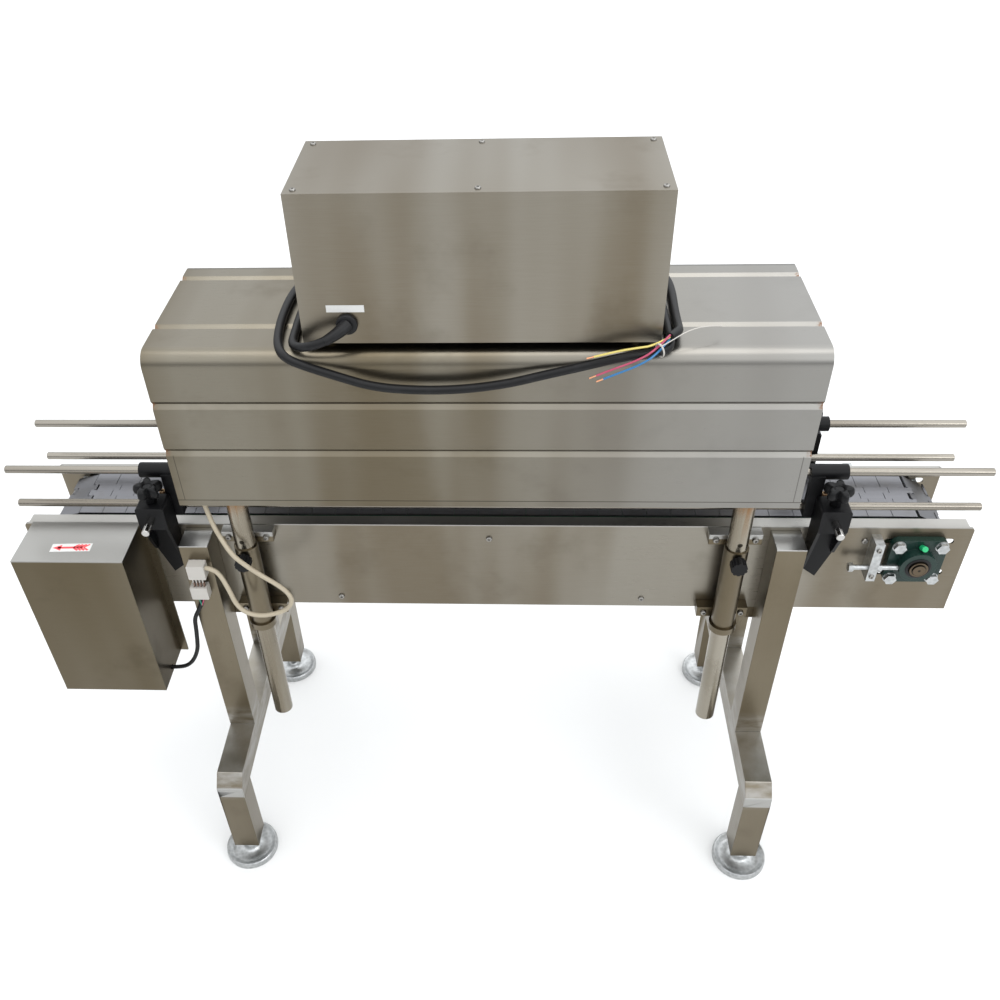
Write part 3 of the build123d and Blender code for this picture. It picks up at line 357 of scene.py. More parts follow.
def heaterSheath(point):
    heat = point.stretched((6, 30, 30)).noise(1.0, 3.0)
    return {"Base Color": point.blend(heat, rgb(0.20, 0.14, 0.10), rgb(0.36, 0.33, 0.33)),
            "Roughness": 0.4 + heat * 0.15, "Metallic": 1.0}


def moulded(point, dark, light, rough=0.45, dust=0.3, grit=900.0):
    grain = point.noise(grit, 2.0)
    worn = point.noise(26.0, 4.0, 0.6).step(0.5, 0.8)
    colour = point.blend(worn * dust, dark, light)
    return {"Base Color": colour, "Roughness": rough + (grain - 0.5) * 0.12 + worn * 0.1,
            "bump": (grain, 0.12, 0.0003)}


def nylonBlack(point):
    return moulded(point, rgb(0.0045, 0.0045, 0.005), rgb(0.018, 0.018, 0.02), 0.38, 0.4)


def rubberBlack(point):
    return moulded(point, rgb(0.006, 0.006, 0.0065), rgb(0.022, 0.022, 0.024), 0.40, 0.45, 1400.0)


def leadCream(point):
    return moulded(point, rgb(0.37, 0.32, 0.235), rgb(0.25, 0.205, 0.145), 0.45, 0.6, 1200.0)


def nylonWhite(point):
    return moulded(point, rgb(0.42, 0.40, 0.37), rgb(0.30, 0.27, 0.235), 0.35, 0.5, 700.0)


def wearStrip(point):
    return moulded(point, rgb(0.05, 0.16, 0.09), rgb(0.08, 0.22, 0.13), 0.4, 0.4)


def bearingPaint(point):
    # thick dark green enamel over a sand casting, chipped to a paler tone
    sand = point.noise(330.0, 3.0)
    chip = point.noise(75.0, 4.0, 0.65).step(0.62, 0.72)
    colour = point.blend(sand, rgb(0.003, 0.016, 0.012), rgb(0.006, 0.026, 0.020))
    colour = point.blend(chip * 0.7, colour, rgb(0.03, 0.06, 0.05))
    return {"Base Color": colour, "Roughness": 0.3 + sand * 0.18 + chip * 0.2,
            "bump": (sand, 0.5, 0.0012)}


def capGreen(point):
    return moulded(point, rgb(0.01, 0.36, 0.13), rgb(0.02, 0.45, 0.2), 0.35, 0.4)


def motorPaint(point):
    return moulded(point, rgb(0.05, 0.09, 0.13), rgb(0.09, 0.13, 0.17), 0.4, 0.5, 500.0)


def displayBlack(point):
    return moulded(point, rgb(0.012, 0.012, 0.014), rgb(0.03, 0.03, 0.035), 0.25, 0.2)


def controlPlastic(point):
    return moulded(point, rgb(0.03, 0.03, 0.032), rgb(0.07, 0.07, 0.07), 0.4, 0.3)


def copperBare(point):
    strand = point.noise(900.0, 2.0)
    return {"Base Color": point.blend(strand, rgb(0.62, 0.25, 0.12), rgb(0.86, 0.46, 0.28)),
            "Roughness": 0.3 + strand * 0.15, "Metallic": 1.0}


def wireSkin(dark, light):
    return lambda point: moulded(point, dark, light, 0.38, 0.6, 1100.0)


def paperLabel(point):
    fibre = point.noise(700.0, 3.0)
    return {"Base Color": point.blend(fibre, rgb(0.50, 0.50, 0.485), rgb(0.58, 0.58, 0.565)),
            "Roughness": 0.5 + fibre * 0.1}


def inkRed(point):
    fibre = point.noise(700.0, 3.0)
    return {"Base Color": point.blend(fibre, rgb(0.66, 0.03, 0.045), rgb(0.76, 0.07, 0.08)),
            "Roughness": 0.45 + fibre * 0.1}


finishes = {
    "sheet_steel": material("brushedSheet", brushed),
    "tube_steel": material("brushedTube", tubeSteel),
    "chain_steel": material("slatSteel", slatSteel),
    "rod_steel": material("drawnRod", rodSteel),
    "bright_steel": material("brightSteel", chromed),
    "zinc": material("zincPlate", zincPlate),
    "black_nylon": material("blackNylon", nylonBlack, Specular_IOR_Level=0.16),
    "wear_plastic": material("wearPlastic", wearStrip),
    "bearing_green": material("bearingPaint", bearingPaint, Coat_Weight=0.1, Specular_IOR_Level=0.3),
    "cap_green": material("capGreen", capGreen),
    "black_rubber": material("blackRubber", rubberBlack, Specular_IOR_Level=0.22),
    "cream_rubber": material("creamRubber", leadCream),
    "white_nylon": material("whiteNylon", nylonWhite),
    "wire_copper": material("bareCopper", copperBare),
    "motor_paint": material("motorPaint", motorPaint),
    "gear_alloy": material("castAlloy", castAlloy),
    "heater_steel": material("heaterSheath", heaterSheath),
    "display_black": material("displayBlack", displayBlack),
    "control_plastic": material("controlPlastic", controlPlastic),
}
extras = {
    "hood": material("hoodSheet", hoodSteel),
    "column": material("drawnTube", roundSteel),
    "guard": material("guardSheet", guardSteel),
    "plate": material("plateSheet", plateSteel),
    "shaft": material("shaftSteel", shaftSteel),
    "screw": material("screwSteel", screwSteel),
    "contact": material("contactBrown", contactBrown),
    "rustyScrew": material("rustyScrew", rustyScrew),
    "label": material("paperLabel", paperLabel),
    "red": material("arrowInk", inkRed),
    "wireYellow": material("wireYellow", wireSkin(rgb(0.54, 0.45, 0.12), rgb(0.60, 0.52, 0.24))),
    "wireRed": material("wireRed", wireSkin(rgb(0.36, 0.045, 0.10), rgb(0.46, 0.12, 0.16))),
    "wireBlue": material("wireBlue", wireSkin(rgb(0.015, 0.13, 0.31), rgb(0.05, 0.20, 0.38))),
    "wireGreen": material("wireGreen", wireSkin(rgb(0.01, 0.22, 0.14), rgb(0.05, 0.3, 0.2))),
}
slotOfNode = {part["node"]: part["material_slot"] for part in frame["record"]["subparts"]}
special = {"hood_shell": "hood", "hood_ends": "hood", "columns": "column", "motor_guard": "guard",
           "side_plate_near": "plate", "side_plate_far": "plate",
           "idler_shaft": "shaft", "drive_shaft": "shaft"}


def dress(obj, look):
    if obj.material_slots:
        for place in obj.material_slots:
            place.material = look
    else:
        obj.data.materials.append(look)


for name, obj in nodes.items():
    dress(obj, extras[special[name]] if name in special else finishes[slotOfNode[name]])
print("materials on", len(nodes), "nodes")


def finishPiece(name, mesh, look, body, replaced=(), smooth=True, sharp=35):
    for face in mesh.faces:
        face.smooth = smooth
    data = bpy.data.meshes.new(name)
    mesh.to_mesh(data)
    mesh.free()
    obj = bpy.data.objects.new(name, data)
    bpy.context.scene.collection.objects.link(obj)
    data.materials.append(look)
    if smooth:
        data.set_sharp_from_angle(angle=math.radians(sharp))
    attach(obj, body)
    if replaced:
        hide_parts(*replaced)
    return obj


softEdge = {"weld": 0.00002, "flat": 1.0, "sharpest": 28, "segments": 2}  # metres, degrees
softEdgeWidths = {"control_box": 0.5, "control_lid": 0.5, "motor_guard": 0.6, "side_plate_near": 0.7,
                  "side_plate_far": 0.7, "uprights": 0.9, "base_frames": 0.9, "guide_bases": 1.0,
                  "rail_holders_near": 0.9, "rail_holders_far": 0.9, "sleeve_brackets": 0.8,
                  "takeup_jacks": 0.6, "bearing_housings": 1.2, "lead_plug": 1.0, "lead_socket": 0.8}


def softened(node, width):
    # the CAD shape with its edges broken, so that they catch the light as folded sheet does
    mesh = bmesh.new()
    mesh.from_mesh(nodes[node].data)
    bmesh.ops.remove_doubles(mesh, verts=mesh.verts, dist=softEdge["weld"])
    bmesh.ops.dissolve_limit(mesh, angle_limit=math.radians(softEdge["flat"]), verts=mesh.verts,
                             edges=mesh.edges)
    sharpest = math.radians(softEdge["sharpest"])
    edges = [e for e in mesh.edges if len(e.link_faces) == 2 and e.calc_face_angle(0) > sharpest]
    bmesh.ops.bevel(mesh, geom=edges, offset=width, offset_type="OFFSET", segments=softEdge["segments"],
                    profile=0.5, affect="EDGES", clamp_overlap=True, material=-1)
    bmesh.ops.recalc_face_normals(mesh, faces=mesh.faces)
    obj = finishPiece(node + "_soft", mesh, nodes[node].material_slots[0].material,
                      nodes[node]["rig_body"], [node])
    obj.modifiers.new("shade", "WEIGHTED_NORMAL").keep_sharp = True


for name, width in softEdgeWidths.items():
    softened(name, width * mm)
print("edges broken")


def turned(outline, steps=32):
    # an outline of (radius, height) points spun about Z
    mesh = bmesh.new()
    line = [mesh.verts.new((radius, 0, height)) for radius, height in outline]
    edges = [mesh.edges.new(pair) for pair in zip(line, line[1:])]
    bmesh.ops.spin(mesh, geom=line + edges, angle=math.tau, steps=steps, axis=(0, 0, 1), cent=(0, 0, 0),
                   use_merge=True)
    bmesh.ops.remove_doubles(mesh, verts=mesh.verts, dist=0.00001)
    bmesh.ops.recalc_face_normals(mesh, faces=mesh.faces)
    return mesh


def added(mesh, piece, at=(0, 0, 0), turn=None):
    # the piece turned and moved into place, and joined to the mesh
    if turn:
        bmesh.ops.rotate(piece, verts=piece.verts, matrix=turn)
    bmesh.ops.translate(piece, verts=piece.verts, vec=at)
    data = bpy.data.meshes.new("joining")
    piece.to_mesh(data)
    piece.free()
    mesh.from_mesh(data)
    bpy.data.meshes.remove(data)


def blockOf(size, at, turn=None):
    mesh = bmesh.new()
    bmesh.ops.create_cube(mesh, size=1.0)
    bmesh.ops.scale(mesh, verts=mesh.verts, vec=size)
    if turn:
        bmesh.ops.rotate(mesh, verts=mesh.verts, matrix=turn)
    bmesh.ops.translate(mesh, verts=mesh.verts, vec=at)
    return mesh


def islands(node):
    # the low and high corner of each separate solid in a node
    mesh = bmesh.new()
    mesh.from_mesh(nodes[node].data)
    bmesh.ops.remove_doubles(mesh, verts=mesh.verts, dist=0.00001)
    left = set(mesh.verts)
    corners = []
    while left:
        reached = [left.pop()]
        for vert in reached:
            for edge in vert.link_edges:
                other = edge.other_vert(vert)
                if other in left:
                    left.discard(other)
                    reached.append(other)
        places = [vert.co for vert in reached]
        corners.append((Vector([min(p[i] for p in places) for i in range(3)]),
                        Vector([max(p[i] for p in places) for i in range(3)])))
    mesh.free()
    return sorted(corners, key=lambda pair: tuple(pair[0]))


toFront = Matrix.Rotation(math.radians(90), 3, "X")
toBack = Matrix.Rotation(math.radians(-90), 3, "X")

# parts of the radius and of the height
panHead = [(0, 0), (1, 0), (1, 0.5), (0.86, 0.86), (0.62, 1), (0.42, 1), (0.378, 0.45), (0, 0.45)]
mesh = bmesh.new()
for low, high in islands("machine_screws"):
    radius, deep = (high.x - low.x) / 2, high.y - low.y
    head = turned([(radius * across, deep * up) for across, up in panHead], 24)
    near = low.y < 0
    added(mesh, head, ((low.x + high.x) / 2, high.y if near else low.y, (low.z + high.z) / 2),
          toFront if near else toBack)
finishPiece("plateScrews", mesh, extras["screw"], "conveyor",
            ["machine_screws"])

# parts of the radius, and millimetres below the top
lidHead = [(0.5, 2.2), (1, 2.2), (1, 1.4), (0.85, 0.4), (0.55, 0), (0.42, 0), (0.36, 1.3), (0, 1.3)]
mesh = bmesh.new()
for low, high in islands("lid_screws"):
    radius, tall = (high.x - low.x) / 2, high.z - low.z
    outline = [(0, 0), (radius * lidHead[0][0], 0)]
    outline += [(radius * across, tall - down * mm) for across, down in lidHead]
    added(mesh, turned(outline, 24), ((low.x + high.x) / 2, (low.y + high.y) / 2, low.z))
finishPiece("lidScrews", mesh, extras["screw"], "hood", ["lid_screws"])

star = {
    "lobes": 5, "valley": 0.46, "hub": 0.0085, "shoulder": 0.009, "inset": 0.006,
    "outline": [
        (0, 0.0), (0.004, 0.0), (0.004, 0.0116), (0.0075, 0.0120), (0.0080, 0.0126), (0.0080, 0.0250),
        (0.0110, 0.0272), (0.0180, 0.0280), (0.0212, 0.0296), (0.0228, 0.0326), (0.0230, 0.0362),
        (0.0224, 0.0402), (0.0206, 0.0436), (0.0172, 0.0453), (0.0130, 0.0456), (0.0100, 0.0450),
        (0.0080, 0.0436), (0.0066, 0.0430), (0.0062, 0.0420), (0, 0.0420),
    ],
}
for name in [name for name in nodes if name.startswith("star_knob")]:
    low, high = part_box(name)
    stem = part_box("spindles_near" if "near" in name else "spindles_far")
    middle = stem[0].x + star["inset"] if "left" in name else stem[1].x - star["inset"]
    mesh = turned(star["outline"], 70)
    phase = math.pi if "left" in name else 0
    for vert in mesh.verts:
        radius, angle = math.hypot(vert.co.x, vert.co.y), math.atan2(vert.co.y, vert.co.x)
        reach = min(max((radius - star["hub"]) / star["shoulder"], 0), 1)
        lobe = (0.5 + 0.5 * math.cos(star["lobes"] * angle + phase)) ** 0.8
        grown = 1 - star["valley"] * reach * (1 - lobe)
        vert.co.x, vert.co.y = vert.co.x * grown, vert.co.y * grown
    bmesh.ops.translate(mesh, verts=mesh.verts, vec=(middle, (low.y + high.y) / 2, low.z))
    parts = name.split("_")
    finishPiece("starKnob" + parts[2].title() + parts[3].title(), mesh, finishes["black_nylon"], name,
                [name], sharp=50)

clipScrew = {"x": 0.507, "y": 0.0735, "aboveSpindle": 0.012, "shank": (0.0022, 0.004),
             "radius": 0.0050, "tall": 0.0100,
             "head": [(1, 0), (1, 0.8), (0.88, 1), (0.55, 1), (0.5, 0.4), (0, 0.4)]}
across, deep = clipScrew["shank"]
outline = [(0, -deep), (across, -deep), (across, 0)]
outline += [(clipScrew["radius"] * out, clipScrew["tall"] * up) for out, up in clipScrew["head"]]
for side, body in ((-1, "near_rails"), (1, "far_rails")):
    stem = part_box("spindles_near" if side < 0 else "spindles_far")
    seat = (stem[0].z + stem[1].z) / 2 + clipScrew["aboveSpindle"]
    mesh = bmesh.new()
    for end in (-1, 1):
        added(mesh, turned(outline, 28), (end * clipScrew["x"], side * clipScrew["y"], seat))
    finishPiece("clipScrews" + ("Near" if side < 0 else "Far"), mesh, extras["rustyScrew"], body)

pad = {
    "nut": (0.0104, 0.0305, 0.0391), "chamfer": 0.0007,  # nut: radius, bottom and top
    "outline": [
        (0, 0.0695), (0.006, 0.0695), (0.006, 0.0185), (0.0092, 0.0180), (0.0108, 0.0165),
        (0.0118, 0.0130), (0.0138, 0.0085), (0.0180, 0.0062), (0.0260, 0.0050), (0.0345, 0.0056),
        (0.0395, 0.0080), (0.0425, 0.0112), (0.0455, 0.0124), (0.0476, 0.0104), (0.0480, 0.0080),
        (0.0480, 0.0), (0.0448, 0.0), (0.0420, 0.0040), (0.0300, 0.0022), (0.0150, 0.0022),
        (0, 0.0022),
    ],
}
for name in [name for name in nodes if name.startswith("foot_")]:
    low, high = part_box(name)
    mesh = turned(pad["outline"], 56)
    across, bottom, top = pad["nut"]
    nut = bmesh.new()
    bmesh.ops.create_cone(nut, cap_ends=True, segments=6, radius1=across, radius2=across,
                          depth=top - bottom)
    bmesh.ops.bevel(nut, geom=nut.edges[:], offset=pad["chamfer"], offset_type="OFFSET", segments=2,
                    profile=0.5, affect="EDGES", clamp_overlap=True, material=-1)
    added(mesh, nut, (0, 0, (bottom + top) / 2))
    bmesh.ops.translate(mesh, verts=mesh.verts, vec=((low.x + high.x) / 2, (low.y + high.y) / 2, low.z))
    parts = name.split("_")
    finishPiece("pad" + parts[1].title() + parts[2].title(), mesh, finishes["zinc"], name,
                [name], sharp=50)

seal = {"inner": 0.0145, "outer": 0.0196, "slope": 0.0012, "sunk": 0.001, "face": 0.0014,
        "innerLip": 0.0008, "outerLip": 0.0006}
inner, outer = seal["inner"], seal["outer"]
outline = [(inner, -seal["sunk"]), (inner, seal["innerLip"]), (inner + seal["slope"], seal["face"]),
           (outer - seal["slope"], seal["face"]), (outer, seal["outerLip"]), (outer, -seal["sunk"]),
           (inner, -seal["sunk"])]
mesh = bmesh.new()
low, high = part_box("idler_shaft")
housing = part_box("bearing_housings")
for end in (-1, 1):
    for side in (-1, 1):
        added(mesh, turned(outline, 48),
              (end * (low.x + high.x) / 2, housing[1].y * side, (low.z + high.z) / 2),
              toFront if side < 0 else toBack)
finishPiece("bearingSeals", mesh, finishes["black_rubber"], "conveyor")

arrow = {
    "at": (-0.6439, -0.1423), "turn": 2.0, "paper": (0.0626, 0.0180, 0.0003), "inkAbove": 0.00036,
    "shaft": (0.0400, 0.0042, 0.00015), "shaftAt": (-0.001, 0, 0),
    "tip": 0.0088, "tipThick": 0.00015, "tipSquash": (1.0, 0.85, 1.0), "tipAt": (-0.0200, 0, 0),
    "feathers": 4, "feather": (0.0100, 0.0029, 0.00015), "firstFeather": 0.0075, "pitch": 0.0054,
    "featherOut": 0.0036, "featherTurn": 38,
}
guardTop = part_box("motor_guard")[1].z
tilted = Matrix.Rotation(math.radians(arrow["turn"]), 3, "Z")
paper = blockOf(arrow["paper"], (*arrow["at"], guardTop + arrow["paper"][2] / 2), tilted)
finishPiece("arrowLabel", paper, extras["label"], "conveyor", smooth=False)
mesh = bmesh.new()
added(mesh, blockOf(arrow["shaft"], arrow["shaftAt"]))
tip = bmesh.new()
bmesh.ops.create_cone(tip, cap_ends=True, segments=3, radius1=arrow["tip"], radius2=arrow["tip"],
                      depth=arrow["tipThick"])
bmesh.ops.rotate(tip, verts=tip.verts, matrix=Matrix.Rotation(math.radians(90), 3, "Z"))
bmesh.ops.scale(tip, verts=tip.verts, vec=arrow["tipSquash"])
added(mesh, tip, arrow["tipAt"])
for step in range(arrow["feathers"]):
    for side in (-1, 1):
        place = (arrow["firstFeather"] + arrow["pitch"] * step, side * arrow["featherOut"], 0)
        added(mesh, blockOf(arrow["feather"], place,
                            Matrix.Rotation(math.radians(arrow["featherTurn"] * side), 3, "Z")))
bmesh.ops.rotate(mesh, verts=mesh.verts, matrix=tilted)
bmesh.ops.translate(mesh, verts=mesh.verts, vec=(*arrow["at"], guardTop + arrow["inkAbove"]))
finishPiece("arrowMark", mesh, extras["red"], "conveyor", smooth=False)

boxLabel = {"x": -0.1755, "z": 1.0962, "size": (0.0490, 0.0003, 0.0098)}
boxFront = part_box("control_box")[0].y
paper = blockOf(boxLabel["size"], (boxLabel["x"], boxFront - boxLabel["size"][1] / 2, boxLabel["z"]))
finishPiece("boxLabel", paper, extras["label"], "hood", smooth=False)

plugPins = {"count": 4, "first": -0.470, "pitch": 0.0052, "y": -0.1345, "bottom": 0.6079, "top": 0.6165,
            "section": (0.0025, 0.0035)}
mesh = bmesh.new()
for k in range(plugPins["count"]):
    added(mesh, blockOf((*plugPins["section"], plugPins["top"] - plugPins["bottom"]),
                        (plugPins["first"] + plugPins["pitch"] * k, plugPins["y"],
                         (plugPins["top"] + plugPins["bottom"]) / 2)))
pinSleeves = finishPiece("pinSleeves", mesh, extras["contact"], "conveyor", smooth=False)
print("details made")


def spline(name, points, radius, look):
    curve = bpy.data.curves.new(name, "CURVE")
    curve.dimensions = "3D"
    curve.bevel_depth = radius
    curve.bevel_resolution = 5
    curve.resolution_u = 10
    curve.use_fill_caps = True
    line = curve.splines.new("NURBS")
    line.points.add(len(points) - 1)
    for spot, place in zip(line.points, points):
        spot.co = (*place, 1.0)
    line.order_u = 3
    line.use_endpoint_u = True
    obj = bpy.data.objects.new(name, curve)
    bpy.context.scene.collection.objects.link(obj)
    curve.materials.append(look)
    return obj


mains = {
    "radius": 0.006, "length": 2.49, "relief": (1.55, 1.32, 1.07),
    "route": [
        (-0.175, -0.130, 1.075), (-0.183, -0.142, 1.071), (-0.2015, -0.1525, 1.064),
        (-0.223, -0.1525, 1.056), (-0.2415, -0.1415, 1.049), (-0.252, -0.123, 1.0435),
        (-0.254, -0.095, 1.0415), (-0.255, -0.052, 1.041), (-0.254, -0.005, 1.0415),
        (-0.258, 0.032, 1.041), (-0.253, 0.058, 1.041), (-0.236, 0.078, 1.041),
        (-0.208, 0.086, 1.041), (-0.160, 0.080, 1.041), (-0.080, 0.072, 1.041),
        (0.040, 0.070, 1.041), (0.130, 0.076, 1.041), (0.196, 0.086, 1.041), (0.226, 0.078, 1.041),
        (0.238, 0.058, 1.041), (0.242, 0.032, 1.041), (0.2415, -0.005, 1.041),
        (0.2420, -0.045, 1.041), (0.243, -0.084, 1.041), (0.243, -0.116, 1.041),
        (0.236, -0.141, 1.043), (0.211, -0.152, 1.044), (0.180, -0.153, 1.041),
        (0.135, -0.151, 1.027), (0.078, -0.150, 1.0115), (0.030, -0.1505, 0.9985),
        (-0.030, -0.150, 0.9895), (-0.090, -0.150, 0.9885), (-0.147, -0.150, 0.994),
        (-0.195, -0.152, 1.013), (-0.231, -0.158, 1.031), (-0.257, -0.153, 1.040),
        (-0.2715, -0.125, 1.041), (-0.2780, -0.082, 1.041), (-0.2800, -0.030, 1.041),
        (-0.2770, 0.025, 1.041), (-0.264, 0.076, 1.041), (-0.238, 0.099, 1.041),
        (-0.200, 0.107, 1.041), (-0.140, 0.105, 1.041), (-0.060, 0.099, 1.041),
        (0.040, 0.100, 1.041), (0.130, 0.105, 1.041), (0.194, 0.109, 1.041), (0.232, 0.101, 1.041),
        (0.251, 0.080, 1.041), (0.2585, 0.050, 1.041), (0.2595, 0.014, 1.041),
        (0.2575, -0.028, 1.041), (0.2565, -0.062, 1.0425), (0.255, -0.092, 1.048),
        (0.252, -0.116, 1.056), (0.238, -0.134, 1.058),
    ],
}
mainsCord = spline("mainsCord", mains["route"], mains["radius"], finishes["black_rubber"])
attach(mainsCord, "hood")
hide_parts("mains_cord")

wires = {
    "radius": 0.0014, "bare": 0.0095, "strands": 0.72,
    "routes": {
        "Yellow": [(0.238, -0.134, 1.058), (0.216, -0.152, 1.056), (0.196, -0.157, 1.056),
                   (0.172, -0.159, 1.053), (0.141, -0.160, 1.045)],
        "Red": [(0.238, -0.134, 1.061), (0.216, -0.160, 1.052), (0.192, -0.164, 1.040),
                (0.168, -0.164, 1.030), (0.145, -0.164, 1.0195)],
        "Blue": [(0.238, -0.134, 1.055), (0.219, -0.164, 1.050), (0.199, -0.168, 1.038),
                 (0.176, -0.168, 1.027), (0.154, -0.168, 1.017)],
    },
    "lengths": {"Yellow": 0.105, "Red": 0.112, "Blue": 0.107},
}
for name, route in wires["routes"].items():
    wire = spline("wire" + name, route, wires["radius"], extras["wire" + name])
    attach(wire, "hood")
    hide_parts("cord_wires")
    last, before = Vector(route[-1]), Vector(route[-2])
    ahead = (last - before).normalized()
    bare = [last - ahead * 2 * mm, last + ahead * 5 * mm, last + ahead * wires["bare"]]
    tip = spline("copper" + name, bare, wires["radius"] * wires["strands"], finishes["wire_copper"])
    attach(tip, "hood")

tie = {
    "radius": 0.0007, "band": 0.0010, "ring": 0.0098, "ringShape": (1.0, 0.72, 1.4),
    "tilt": 78, "turn": 38, "at": (0.2245, -0.1525, 1.0495),
    "tail": [(0.2245, -0.158, 1.0585), (0.236, -0.150, 1.0605), (0.262, -0.125, 1.0625),
             (0.290, -0.102, 1.056), (0.312, -0.086, 1.046)],
}
tieTail = spline("tieTail", tie["tail"], tie["radius"], finishes["white_nylon"])
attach(tieTail, "hood")
mesh = bmesh.new()
bmesh.ops.create_circle(mesh, radius=tie["band"], segments=8, cap_ends=False)
bmesh.ops.rotate(mesh, verts=mesh.verts, matrix=toFront)
bmesh.ops.translate(mesh, verts=mesh.verts, vec=(tie["ring"], 0, 0))
bmesh.ops.spin(mesh, geom=mesh.verts[:] + mesh.edges[:], angle=math.tau, steps=28, axis=(0, 0, 1),
               cent=(0, 0, 0), use_merge=True)
bmesh.ops.scale(mesh, verts=mesh.verts, vec=tie["ringShape"])
bmesh.ops.rotate(mesh, verts=mesh.verts, matrix=Matrix.Rotation(math.radians(tie["tilt"]), 3, "Y"))
bmesh.ops.rotate(mesh, verts=mesh.verts, matrix=Matrix.Rotation(math.radians(tie["turn"]), 3, "Z"))
bmesh.ops.translate(mesh, verts=mesh.verts, vec=tie["at"])
bmesh.ops.recalc_face_normals(mesh, faces=mesh.faces)
tieBand = finishPiece("tieBand", mesh, finishes["white_nylon"], "hood")
relief = spline("strainRelief", mains["route"][:3], mains["radius"], finishes["black_rubber"])
for spot, size in zip(relief.data.splines[0].points, mains["relief"]):
    spot.radius = size
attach(relief, "hood")

lead = {
    "radius": 0.00375, "length": 0.433,
    "route": [
        (-0.431, -0.112, 0.779), (-0.430, -0.1125, 0.764), (-0.427, -0.114, 0.744),
        (-0.421, -0.120, 0.723), (-0.409, -0.131, 0.703), (-0.392, -0.147, 0.686),
        (-0.370, -0.157, 0.673), (-0.348, -0.161, 0.6565), (-0.328, -0.162, 0.6405),
        (-0.313, -0.162, 0.623), (-0.308, -0.162, 0.604), (-0.318, -0.162, 0.586),
        (-0.341, -0.161, 0.573), (-0.368, -0.160, 0.567), (-0.390, -0.158, 0.573),
        (-0.402, -0.156, 0.589), (-0.407, -0.1535, 0.608), (-0.413, -0.149, 0.625),
        (-0.421, -0.142, 0.638), (-0.432, -0.136, 0.646), (-0.446, -0.1342, 0.6475),
    ],
}


def asMesh(curve, name):
    # the spline as a mesh tube, and the points that the tube follows
    view = bpy.context.evaluated_depsgraph_get()
    tube = bpy.data.meshes.new_from_object(curve.evaluated_get(view))
    curve.data.bevel_depth = 0
    view.update()
    view = bpy.context.evaluated_depsgraph_get()
    path = [v.co.copy() for v in bpy.data.meshes.new_from_object(curve.evaluated_get(view)).vertices]
    obj = bpy.data.objects.new(name, tube)
    bpy.context.scene.collection.objects.link(obj)
    bpy.data.objects.remove(curve)
    for face in tube.polygons:
        face.use_smooth = True
    return obj, path


leadLine = spline("leadLine", lead["route"], lead["radius"], finishes["cream_rubber"])
controlLead, leadPath = asMesh(leadLine, "controlLead")
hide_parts("control_lead")
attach(controlLead, "conveyor")
controlLead.parent = None
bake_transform(controlLead)

motorLead = {
    "radius": 0.0035, "length": 0.216, "coreRadius": 0.0010,
    "cores": {"Red": (-0.4595, -0.1345, 0.584), "Green": (-0.4700, -0.1345, 0.584)},
    "join": (-0.4650, -0.1372, 0.5765), "coreEnd": (-0.4668, -0.1366, 0.5665),
    "route": [
        (-0.465, -0.133, 0.583), (-0.466, -0.1335, 0.571), (-0.474, -0.135, 0.556),
        (-0.486, -0.136, 0.535), (-0.489, -0.135, 0.510), (-0.493, -0.134, 0.483),
        (-0.498, -0.133, 0.455), (-0.511, -0.132, 0.427), (-0.526, -0.131, 0.411),
        (-0.543, -0.1303, 0.4065), (-0.556, -0.130, 0.406),
    ],
}
for name, start in motorLead["cores"].items():
    halfWay = ((start[0] + motorLead["join"][0]) / 2, *motorLead["join"][1:])
    core = spline("core" + name, [start, halfWay, motorLead["coreEnd"]], motorLead["coreRadius"],
                  extras["wire" + name])
    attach(core, "conveyor")
motorCord = spline("motorLead", motorLead["route"], motorLead["radius"], finishes["black_rubber"])
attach(motorCord, "conveyor")
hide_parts("motor_lead")
print("cords laid")


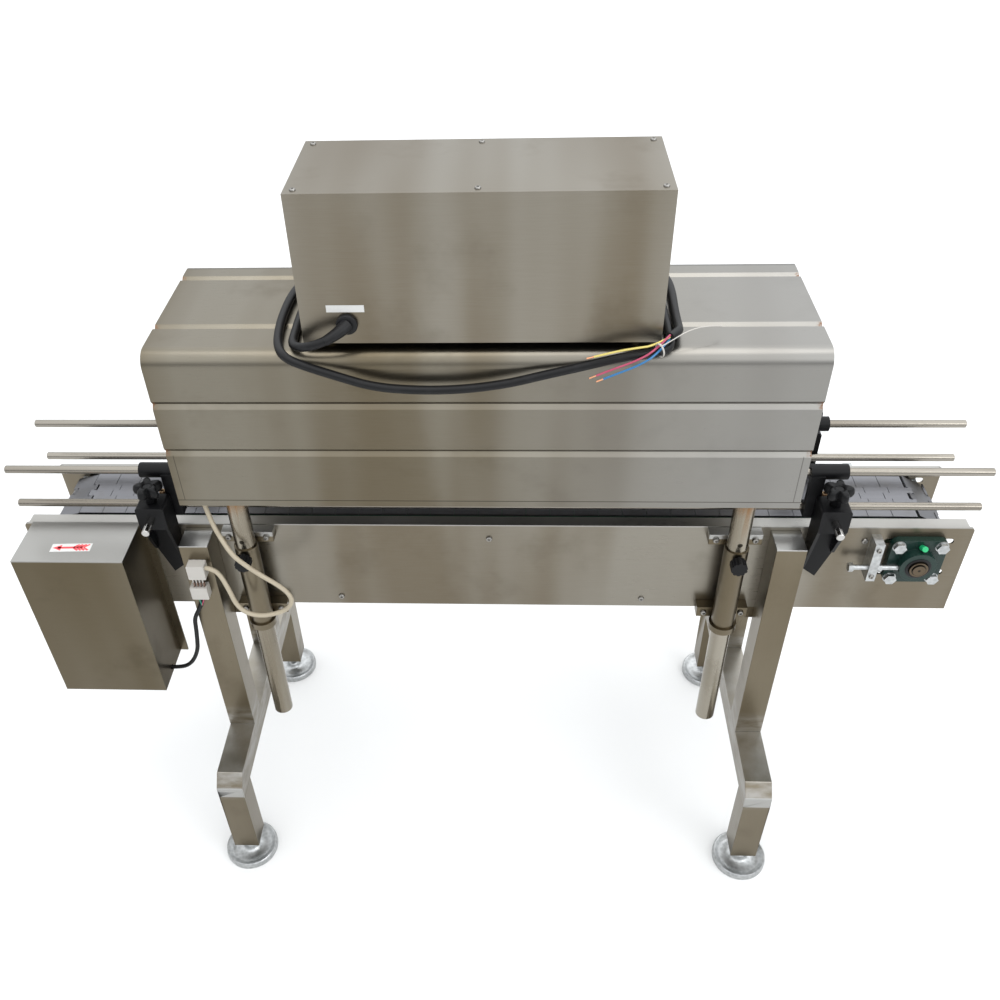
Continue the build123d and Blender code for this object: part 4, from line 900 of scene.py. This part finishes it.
studio = {
    "cameraAt": (0.04727, -1.24364, 1.70149), "heading": -0.0633, "tilt": -0.6981, "roll": -0.0360,
    "lens": 35.44, "shift": (0.0287, 0.0102),
    "floor": 14.0, "paint": (rgb(0.66, 0.66, 0.655), rgb(0.69, 0.69, 0.685)),
    "sky": rgb(0.96, 0.98, 1.0), "lowSky": 0.62, "highSky": 2.0, "leftSky": 0.88, "rightSky": 1.12,
}
view = bpy.data.cameras.new("view")
camera = bpy.data.objects.new("view", view)
bpy.context.scene.collection.objects.link(camera)
view.lens, view.sensor_width = studio["lens"], 36
view.shift_x, view.shift_y = studio["shift"]
view.clip_start, view.clip_end = 0.01, 60
turn = (Matrix.Rotation(-studio["heading"], 4, "Z")
        @ Matrix.Rotation(math.pi / 2 + studio["tilt"], 4, "X")
        @ Matrix.Rotation(studio["roll"], 4, "Z"))
camera.matrix_world = Matrix.Translation(studio["cameraAt"]) @ turn
bpy.context.scene.camera = camera
bpy.context.scene.view_settings.view_transform = "Standard"

world = bpy.data.worlds.new("studio")
bpy.context.scene.world = world
world.use_nodes = True
background = world.node_tree.nodes["Background"]
background.inputs["Color"].default_value = studio["sky"]
towards = Wire(world.node_tree).node("ShaderNodeTexCoord", out=0)
across, along, up = towards.axes()
glow = (up.step(0.05, 0.6, studio["lowSky"], studio["highSky"])
        * across.step(-0.8, 0.8, studio["leftSky"], studio["rightSky"]))
world.node_tree.links.new(glow.socket, background.inputs["Strength"])

lights = {
    "over": {"at": (0.1, -0.2, 3.6), "aim": (0, 0, 0.5), "size": (2.6, 2.0), "power": 26,
             "tint": (1.0, 0.98, 0.96)},
    "right": {"at": (2.6, -2.2, 2.2), "aim": (0.9, -0.9, 0.1), "size": (1.4, 1.4), "power": 24,
              "tint": (0.98, 0.99, 1.0)},
}
for name, setting in lights.items():
    lamp = bpy.data.lights.new(name, "AREA")
    lamp.shape, lamp.energy, lamp.color = "RECTANGLE", setting["power"], setting["tint"]
    lamp.size, lamp.size_y = setting["size"]
    holder = bpy.data.objects.new(name, lamp)
    bpy.context.scene.collection.objects.link(holder)
    holder.location = setting["at"]
    facing = Vector(setting["aim"]) - Vector(setting["at"])
    holder.rotation_euler = facing.to_track_quat("-Z", "Y").to_euler()

mesh = bmesh.new()
bmesh.ops.create_grid(mesh, x_segments=1, y_segments=1, size=studio["floor"])
data = bpy.data.meshes.new("floor")
mesh.to_mesh(data)
mesh.free()
floor = bpy.data.objects.new("floor", data)
bpy.context.scene.collection.objects.link(floor)


def floorPaint(point):
    mottle = point.noise(3.0, 2.0)
    return {"Base Color": point.blend(mottle, *studio["paint"]), "Roughness": 0.85}


data.materials.append(material("paleFloor", floorPaint))

print("studio ready")
